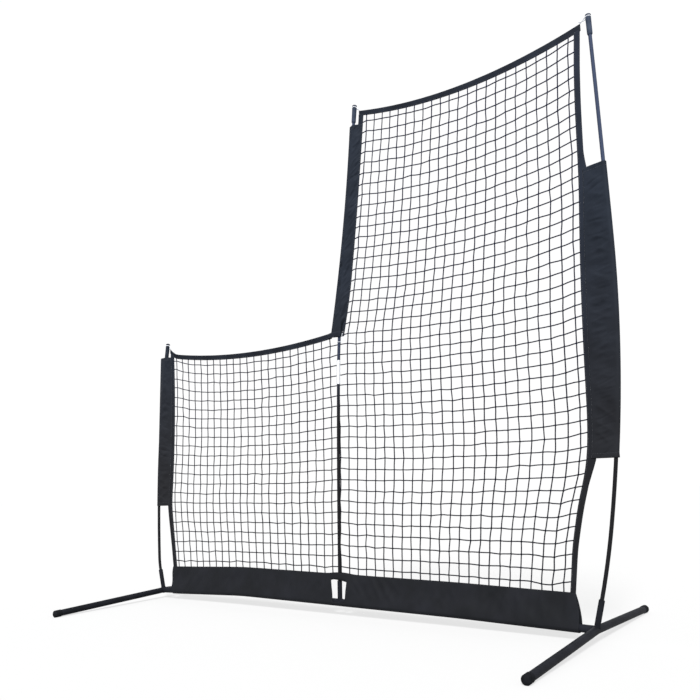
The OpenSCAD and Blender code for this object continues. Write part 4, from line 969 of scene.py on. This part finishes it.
def corner_strap():
    lo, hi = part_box("step_eyelet")
    eyelet_z = (lo.z + hi.z) / 2
    start_x = low_top.end - 16 * MM
    start_z = float(low_top.low(start_x) + low_top.high(start_x)) / 2
    axis_x = sum(cut("middle_pole_upper", Z, eyelet_z, X)) / 2
    fold_x = cut("step_sleeve", Z, eyelet_z, X)[0]
    start = (start_x - axis_x, NET_Y - 2.4 * MM)
    ring = hull(circle(STRAP_R) + [start, (fold_x - axis_x - 2.5 * MM, -1.8 * MM)])
    ring = ring[ring.index(start) :] + ring[: ring.index(start)]
    end = next(i for i, point in enumerate(ring) if point[0] > STRAP_END)
    line = spread(ring[: end + 1], 44)
    points = []
    for i, (x, y) in enumerate(line):
        share = i / (len(line) - 1)
        sag = 1.5 * MM * math.sin(math.pi / 2 * share)
        z = start_z - sag + (eyelet_z - STRAP_DROP - start_z) * share
        ahead, behind = line[min(i + 1, len(line) - 1)], line[max(i - 1, 0)]
        way = Vector((ahead[0] - behind[0], ahead[1] - behind[1])).normalized()
        width = STRAP_WIDTHS[0] + (STRAP_WIDTHS[1] - STRAP_WIDTHS[0]) * share
        for u, out in STRAP_SECTION:
            off = STRAP_THICK * out
            points.append((axis_x + x + way.y * off, y - way.x * off, z + (u - 0.5) * width))
    m, n = len(STRAP_SECTION), len(line)
    obj = make_object("step_corner_strap", points, grid_faces(n, m, ends=True), tape)
    fix_normals(obj)
    mount(obj, "cloth")
    grid = np.array(points).reshape(n, m, 3)
    for column, shift in ((1, 2), (3, -2)):
        seams.append(grid[1:-1, column] + (0, -0.25 * MM, shift * MM))
    print("strap from", round(start_x, 3), "to", round(axis_x + line[-1][0], 3))


corner_strap()


# %% [markdown]
# ## The skirt
# The skirt is one strip of cloth, folded round the crossbar as a hem and sewn to the net along both upper
# edges. A window with a bound edge lets the middle pole's socket through. The strip is a sheet of squares
# whose columns lean with the window's sides, so the window is made by leaving squares out.

# %% Skirt round the crossbar
HEM_HALF, HEM_DROP = 18 * MM, 14.6 * MM
WINDOW_L, WINDOW_R, WINDOW_FOOT, WINDOW_TOP = -36 * MM, 33 * MM, 2 * MM, 85 * MM
REAR_L = WINDOW_L - 27 * MM      # the rear layer is cut away further, so the view through is clear
NEAR = 1e-5                      # two places closer than this are the same
SEAM_Y = 1.4 * MM                # how far a seam lies from the plane of the net
POLE_Y = -9 * MM                 # where the front layer passes before the pole
FRONT_CREASE, REAR_CREASE = 7.0 * MM, 5.0 * MM    # depth of the folds
SKIRT_HEIGHTS = [106.5, 102.5, 96, 90.5, 85, 77, 69, 61, 53, 45, 37, 29, 20, 11, 2]     # mm over the bar
# around the strip: the front from its seam down, the turn under the bar, and the rear
SKIRT_SECTION = [
    *(("front", h * MM) for h in SKIRT_HEIGHTS),
    *(("turn", math.radians(a)) for a in np.linspace(186, 354, 12)),
    *(("rear", h * MM) for h in SKIRT_HEIGHTS[::-1]),
]


def skirt_crease(x, up):
    """Upright folds that lean where the bar pulls the cloth, and sharper drags by the window."""
    broad = noise_at(x / (120 * MM) + 0.35 * up, 7.0, up * 0.5)
    ridge = 0.45 - 2.2 * abs(noise_at(x / (75 * MM) - 0.8 * up, 2.0, up * 0.6))
    drag = 0.4 - 2.0 * abs(noise_at(x / (46 * MM) + 1.7 * up, 5.0, up))
    small = 0.35 - 2.2 * abs(noise_at(x / (31 * MM) - 1.2 * up, 3.0, up * 1.2))
    by_window = fade(x - pole_x - 130 * MM, 120 * MM) + 0.35
    return 0.6 * broad + 0.6 * ridge + 0.5 * by_window * drag + 0.5 * small


def skirt_point(x, kind, v, bar, ends, low_z):
    """A point of the strip: x along the bar, and v its height over the bar or its angle in the turn."""
    h = HEM_DROP * math.sin(v) if kind == "turn" else v
    up = clamp(h / SKIRT_H)
    d = x - pole_x
    near = fade(d, 45 * MM)
    # the strip's ends slant with the side bands, and the window's sides lean a little
    (left_low, right_low), (left_high, right_high) = ends
    share = (x - left_low) / (right_low - left_low)
    slant = (left_high - left_low) * (1 - share) ** 12 + (right_high - right_low) * share**12
    lean = (bar + h - low_z) / (60 * MM) * slant
    lean -= 16 * MM * (max(0.1 - bar - h, 0) / 0.08) ** 2 * share**12
    lean -= 19.5 * MM * (up - 0.45) * fade(d - WINDOW_L, 30 * MM)
    lean += 5.5 * MM * (up - 0.45) * fade(d - WINDOW_R, 30 * MM)
    chamfer = 0.0
    if abs(h - WINDOW_TOP) < 0.5 * MM and WINDOW_L - NEAR <= d <= WINDOW_R + NEAR:
        t = (d - WINDOW_L) / (WINDOW_R - WINDOW_L)
        chamfer = -4 * MM * (1 - t) ** 6 - 9 * MM * t**2
    soft = math.sin(math.pi * up) ** 0.7 * (1 - 0.8 * near)
    if kind == "turn":
        y = HEM_HALF * math.cos(v)
    elif kind == "front":
        top = NET_Y - SEAM_Y
        top += (POLE_Y - top) * fade(d, 38 * MM)
        y = -HEM_HALF + (top + HEM_HALF) * up - FRONT_CREASE * skirt_crease(x, up) * soft
    else:
        y = HEM_HALF + (NET_Y + SEAM_Y - HEM_HALF) * up + REAR_CREASE * skirt_crease(x + 1, up) * soft
    return (x + lean, y, bar + h + POLE_LIFT * near * up**3 + chamfer)


def make_skirt():
    low_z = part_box("skirt")[0].z + 40 * MM
    ends = cut("skirt", Z, low_z, X), cut("skirt", Z, low_z + 60 * MM, X)
    ends = ends[0], (ends[1][0], ends[1][1] + 9 * MM)      # the right end runs up to the band's outer edge
    stops = [ends[0][0], pole_x + REAR_L, pole_x + WINDOW_L, pole_x + WINDOW_R, ends[0][1]]
    parts = [np.linspace(a, b, count) for a, b, count in zip(stops, stops[1:], (160, 5, 13, 170))]
    xs = sorted(set(np.round(np.concatenate(parts), 6)))
    m = len(SKIRT_SECTION)
    grid = np.array([
        [skirt_point(x, *place, float(crossbar.middle(x)), ends, low_z) for place in SKIRT_SECTION]
        for x in xs
    ])

    def in_window(i, s):
        """Whether the square after column i and row s is left out."""
        (kind, a), (next_kind, b) = SKIRT_SECTION[s], SKIRT_SECTION[s + 1]
        left = REAR_L if kind == "rear" else WINDOW_L
        between = pole_x + left - NEAR <= xs[i] and xs[i + 1] <= pole_x + WINDOW_R + NEAR
        level = WINDOW_FOOT - NEAR <= min(a, b) and max(a, b) <= WINDOW_TOP + NEAR
        return between and level and kind == next_kind != "turn"

    faces = [
        f[:1] + f[:0:-1] for f in grid_faces(len(xs), m, ring=False) if not in_window(*divmod(f[0], m))
    ]
    obj = make_object("crossbar_skirt", grid.reshape(-1, 3), faces, skirt_cloth)
    add_wall(obj)
    for row, side in ((1, -1), (m - 2, 1)):
        seams.append(grid[2:-2, row] + (0, side * 0.35 * MM, 0))
    across = np.array(xs) - pole_x
    for column, side, left in ((11, -1, WINDOW_L), (m - 12, 1, REAR_L)):
        for part in (across < left - 6 * MM, across > WINDOW_R + 6 * MM):
            seams.append(grid[part, column][2:-2] + (0, side * 0.35 * MM, 0))
    first = int(np.argmin(np.abs(across - WINDOW_L))) - 1
    last = int(np.argmin(np.abs(across - WINDOW_R))) + 1
    for row in (grid[first, 2:14], grid[last, 2:14], grid[first : last + 1, 2]):
        seams.append(row - (0, 0.4 * MM, 0))
    for row in (3, len(xs) - 4):
        seams.append(grid[row, 1:14] - (0, 0.35 * MM, 0))
    mount(obj, "cloth", "skirt")


make_skirt()


# %% [markdown]
# ## The button springs
# Behind each snap button a strip of spring steel, bent like a V on its side, sits across the tube. When a
# thumb presses the button, the strip closes up. A solid can't bend, so a copy of it, with a mesh of its own,
# stands in for it.

# %% Copies of the springs
for name in [n for n in nodes if n.endswith("button_spring")]:
    leaf = bpy.data.objects.new(f"{name}_leaf", nodes[name].data.copy())
    bpy.context.scene.collection.objects.link(leaf)
    fix_normals(leaf)
    leaf.data.shade_smooth()
    leaf.data.set_sharp_from_angle(angle=SOLID_SHARP)
    mount(leaf, "spring_steel", name)
    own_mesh(leaf)


# %% [markdown]
# ## Elastic loops
# An elastic cord lies in the groove of each pole cap and pulls the net's corner up to it. One strand ends
# in front of the corner and the other behind it, where they go through and are knotted. The groove is
# found on the cap itself: it is where a level cut is narrowest near the top.

# %% A tube along a path
def tube(name, path, radius, material, sides=10, closed=False):
    path = [Vector(p) for p in path]
    radii = radius if hasattr(radius, "__len__") else [radius] * len(path)
    count = len(path)
    side, points = None, []
    for i, here in enumerate(path):
        if closed:
            along = (path[(i + 1) % count] - path[i - 1]).normalized()
        else:
            along = (path[min(i + 1, count - 1)] - path[max(i - 1, 0)]).normalized()
        start = side or along.orthogonal()
        side = (start - along * start.dot(along)).normalized()
        up = along.cross(side)
        for s in range(sides):
            turn = 2 * math.pi * s / sides
            points.append(here + radii[i] * (math.cos(turn) * side + math.sin(turn) * up))
    return make_object(name, points, grid_faces(count, sides, loop=closed, ends=not closed), material)


def arc_points(centre, radius, start, end, count):
    turns = np.linspace(start, end, count)
    return [centre + Vector((radius * math.cos(a), radius * math.sin(a), 0)) for a in turns]


def find_groove(cap):
    """The middle and radius of the narrow neck under a cap's head."""
    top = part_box(cap)[1].z
    cuts = [(z, *cut(cap, Z, z, X)) for z in np.linspace(top - 20 * MM, top - 6 * MM, 57)]
    narrow = min(high - low for _, low, high in cuts)
    neck = [c for c in cuts if c[2] - c[1] < narrow + 1.0 * MM]
    z = sum(c[0] for c in neck) / len(neck)
    return Vector((sum(c[1] + c[2] for c in neck) / 2 / len(neck), 0, z)), narrow / 2


# %% [markdown]
# The strands leave the groove along its tangents. Seen from above, the tangent from a point at distance D
# to a circle of radius r touches it at the angle whose cosine is r / D, measured from the line of centres.

# %% Loops from the caps to the corners
LOOP_D = 3.4 * MM
INSET = 3.3 * MM      # how far the knot sits inside the solid loop's corner
GROOVE_GAP, KNOT_GAP = 0.15 * MM, 1.4 * MM        # from the cord to the groove, and from the band to the knot


def tied_knot(name, centre, size):
    """A trefoil, the simplest knot: it crosses itself three times. It lies in front of its centre."""
    turns = np.linspace(0, 2 * math.pi, 48, endpoint=False)
    path = [
        centre + size * Vector((math.sin(t) + 1.6 * math.sin(2 * t), -0.92 - 0.92 * math.sin(3 * t),
                                math.cos(t) - 1.6 * math.cos(2 * t)))
        for t in turns
    ]
    return tube(name, path, 0.85 * size, elastic, closed=True)


def declare_loop(obj, knots, solid):
    for knot in knots:
        mount(knot, "elastic")
    mount(obj, "elastic", solid)


def corner_loop(place, way):
    """The loop of one pole; way is 1 where the net's corner lies to the right of the cap, or else -1."""
    name, solid = f"{place}_cap_loop", f"{place}_corner_loop"
    centre, neck = find_groove(f"{place}_pole_cap")
    lo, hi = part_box(solid)
    target = Vector((hi.x if way > 0 else lo.x, NET_Y, lo.z)) + Vector((-way * INSET, 0, INSET))
    radius = neck + LOOP_D / 2 + GROOVE_GAP
    ends = [target + Vector((0, side * (BAND_HALF + KNOT_GAP), 0)) for side in (-1, 1)]
    touch = []
    for end, side in zip(ends, (-1, 1)):
        away = Vector((end.x - centre.x, end.y - centre.y))
        touch.append(math.atan2(away.y, away.x) + side * math.acos(min(radius / away.length, 1)))
    first, last = touch
    while last > first:
        last -= 2 * math.pi
    ring = arc_points(centre, radius, first, last, 40)
    front = [ends[0].lerp(ring[0], u) for u in np.linspace(0, 1, 12)[:-1]]
    rear = [ring[-1].lerp(ends[1], u) for u in np.linspace(0, 1, 12)[1:]]
    path = front + ring + rear
    obj = tube(name, path, LOOP_D / 2, elastic)
    declare_loop(obj, [tied_knot(f"{name}_knot", ends[0], 1.3 * MM)], solid)


for place, way in (("left", 1), ("middle", 1), ("right", -1)):
    corner_loop(place, way)


# %% [markdown]
# No cap stands over the step corner. A thinner elastic comes down from its eyelet, goes once round the
# middle pole and is knotted to itself, so the corner can't ride up. It meets the pole along a Bezier curve,
# because limp cord still bends in an arc.

# %% The loop from the eyelet
THIN_D = 1.9 * MM


def bezier(a, b, c, d, u):
    return a * (1 - u) ** 3 + b * 3 * u * (1 - u) ** 2 + c * 3 * u * u * (1 - u) + d * u**3


def eyelet_loop():
    lo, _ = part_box("step_loop")
    eye_lo, eye_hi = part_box("step_eyelet")
    level = lo.z + 1.2 * MM
    low, high = cut("middle_pole_upper", Z, level, X)
    centre, radius = Vector(((low + high) / 2, 0, level)), (high - low) / 2 + THIN_D / 2 + 0.25 * MM
    tie = Vector(((eye_lo.x + eye_hi.x) / 2, eye_lo.y - THIN_D / 2 - 0.2 * MM, eye_lo.z + 0.3 * MM))
    ring = arc_points(centre, radius, 0, -1.9 * math.pi, 48)
    for i, point in enumerate(ring):
        point.z -= 0.6 * THIN_D * i / len(ring)
    pulls = tie, tie.lerp(ring[0], 0.6), ring[0] + Vector((0, 7 * MM, 0)), ring[0]
    path = [bezier(*pulls, u) for u in np.linspace(0, 1, 24)[:-1]] + ring
    obj = tube("step_eyelet_loop", path, THIN_D / 2, elastic)
    knots = [
        tied_knot("step_eyelet_knot", tie + Vector((0, 0.3 * MM, 0)), 0.75 * MM),
        tied_knot("step_pole_knot", ring[0] + Vector((0.6 * MM, 0.8 * MM, 0)), 0.8 * MM),
    ]
    declare_loop(obj, knots, "step_loop")


eyelet_loop()


# %% [markdown]
# ## Weld beads
# The sockets and stubs are welded to round tubes. A bead follows the line where two tubes meet: at the
# angle t round the branch, the branch reaches the main tube's skin at the height sqrt(R² - (r cos t)²).
# Its scales, one for each small move of the torch, are a slight swelling along the bead.

# %% Beads where tubes meet
TUBE_R, SOCKET_R, BEAD_R = 12.7 * MM, 9.5 * MM, 1.7 * MM
BEAD_POINTS, SCALE_POINTS = 150, 5      # points round a bead, and in each of its scales


def bead(name, centre, axis, main_axis, branch_r):
    axis, main_axis = Vector(axis).normalized(), Vector(main_axis).normalized()
    across = axis.cross(main_axis).normalized()
    along = across.cross(axis).normalized()
    path, radii = [], []
    for i in range(BEAD_POINTS):
        t = 2 * math.pi * i / BEAD_POINTS
        a, b = branch_r * math.cos(t), branch_r * math.sin(t)
        height = math.sqrt(max(TUBE_R**2 - a * a, 0))
        path.append(Vector(centre) + a * across + b * along + height * axis)
        radii.append(BEAD_R * (1 + 0.22 * math.sin(i * 2 * math.pi / SCALE_POINTS)))
    obj = tube(name, path, radii, steel, sides=8, closed=True)
    obj.data.shade_smooth()
    mount(obj, "black_steel")


def socket_axis(name):
    """A point on a socket's axis and the axis's direction, from two level cuts of its straight part."""
    lo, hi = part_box(name)
    low_z, high_z = lo.z + 35 * MM, hi.z - 12 * MM
    low, high = (sum(cut(name, Z, z, X)) / 2 for z in (low_z, high_z))
    return Vector((low, 0, low_z)), Vector((high - low, 0, high_z - low_z)).normalized()


for side, inwards in (("left", 1), ("right", -1)):
    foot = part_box(f"{side}_foot_tube")
    centre = Vector(((foot[0].x + foot[1].x) / 2, 0, foot[1].z - TUBE_R))
    _, way = socket_axis(f"{side}_pole_socket")
    bead(f"{side}_socket_bead", centre, way, (0, 1, 0), SOCKET_R)
    bead(f"{side}_stub_bead", centre, (inwards, 0, 0), (0, 1, 0), TUBE_R - 0.05 * MM)
point, way = socket_axis("centre_pole_socket")
base = point - way * ((point.z - float(crossbar.middle(point.x))) / way.z)
bead("centre_socket_bead", base, way, (1, 0, 0), SOCKET_R)


# %% [markdown]
# ## Stitches
# Every row that a needle has followed was kept while the cloth was made. A Geometry Nodes tree puts one
# small stitch every 4.5 mm along each row, turned into the row's direction.

# %% Stitches from a node tree
STITCH_SIZES = {"Spacing": 4.5 * MM, "Stitch length": 3.3 * MM, "Thread diameter": 0.8 * MM}
EYELET_CLEAR = 7 * MM      # no stitch comes nearer to the eyelet's middle


def stitch_tree():
    tree, given = geometry_tree("stitches", STITCH_SIZES)
    curve = add(tree, "GeometryNodeMeshToCurve", inputs={"Mesh": given["Geometry"]})
    evenly = add(tree, "GeometryNodeCurveToPoints", {"mode": "LENGTH"},
                 {"Curve": curve.outputs[0], "Length": given["Spacing"]})
    ball = add(tree, "GeometryNodeMeshUVSphere", inputs={"Segments": 6, "Rings": 4, "Radius": 0.5})
    width = given["Thread diameter"]
    size = add(tree, "ShaderNodeCombineXYZ", inputs={"X": width, "Y": width, "Z": given["Stitch length"]})
    stitches = add(tree, "GeometryNodeInstanceOnPoints",
                   inputs={"Points": evenly.outputs["Points"], "Instance": ball.outputs[0],
                           "Rotation": evenly.outputs["Rotation"], "Scale": size.outputs[0]})
    end_tree(tree, stitches.outputs[0], thread)
    return tree


def clear_rows(rows, centre, radius):
    """The rows with a gap wherever they come near a point."""
    out = []
    for row in rows:
        part = []
        for point in row:
            near = math.hypot(point[0] - centre[0], point[2] - centre[1]) < radius
            if near and len(part) > 1:
                out.append(part)
            part = [] if near else part + [point]
        if len(part) > 1:
            out.append(part)
    return out


eyelet_lo, eyelet_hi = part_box("step_eyelet")
eyelet_centre = (eyelet_lo.x + eyelet_hi.x) / 2, (eyelet_lo.z + eyelet_hi.z) / 2
points, edges = chain(clear_rows(seams, eyelet_centre, EYELET_CLEAR))
stitches = make_object("seam_stitches", points, [], None, edges)
bake(stitches, stitch_tree(), STITCH_SIZES)
mount(stitches, "cloth")
print("rows of stitches:", len(seams), "faces:", len(stitches.data.polygons))


# %% [markdown]
# ## The stage
# A white studio: a white sky, a floor that is lit from below as a product table is, and one broad key
# light from above and in front. The floor has the sky's brightness, so no horizon shows.

# %% Floor and lamps
FLOOR_HALF = 30.0
FLOOR_TONE, FLOOR_GLOW, SKY_STRENGTH = 0.135, 0.68, 1.02
KEY_STRENGTH, KEY_WIDTH, KEY_WAY = 6.0, math.radians(16), (-0.30, 0.62, -0.74)
WHITE = (1, 1, 1, 1)


def make_stage():
    corners = [(x * FLOOR_HALF, y * FLOOR_HALF, 0) for x, y in ((-1, -1), (1, -1), (1, 1), (-1, 1))]
    material, _, _, _ = new_material(
        "lit_studio_floor", 0.9, Specular_IOR_Level=0.0, Emission_Strength=FLOOR_GLOW, Emission_Color=WHITE,
        Base_Color=(FLOOR_TONE, FLOOR_TONE, FLOOR_TONE, 1))
    make_object("floor", corners, [(0, 1, 2, 3)], material)
    world = bpy.data.worlds.new("studio")
    bpy.context.scene.world = world
    world.use_nodes = True
    world.node_tree.nodes["Background"].inputs["Color"].default_value = WHITE
    world.node_tree.nodes["Background"].inputs["Strength"].default_value = SKY_STRENGTH
    sun = bpy.data.lights.new("soft_key", "SUN")
    sun.energy, sun.angle = KEY_STRENGTH, KEY_WIDTH
    lamp = bpy.data.objects.new("soft_key", sun)
    lamp.rotation_euler = Vector(KEY_WAY).to_track_quat("-Z", "Y").to_euler()
    bpy.context.scene.collection.objects.link(lamp)
    bpy.context.scene.view_settings.view_transform = "Standard"


make_stage()
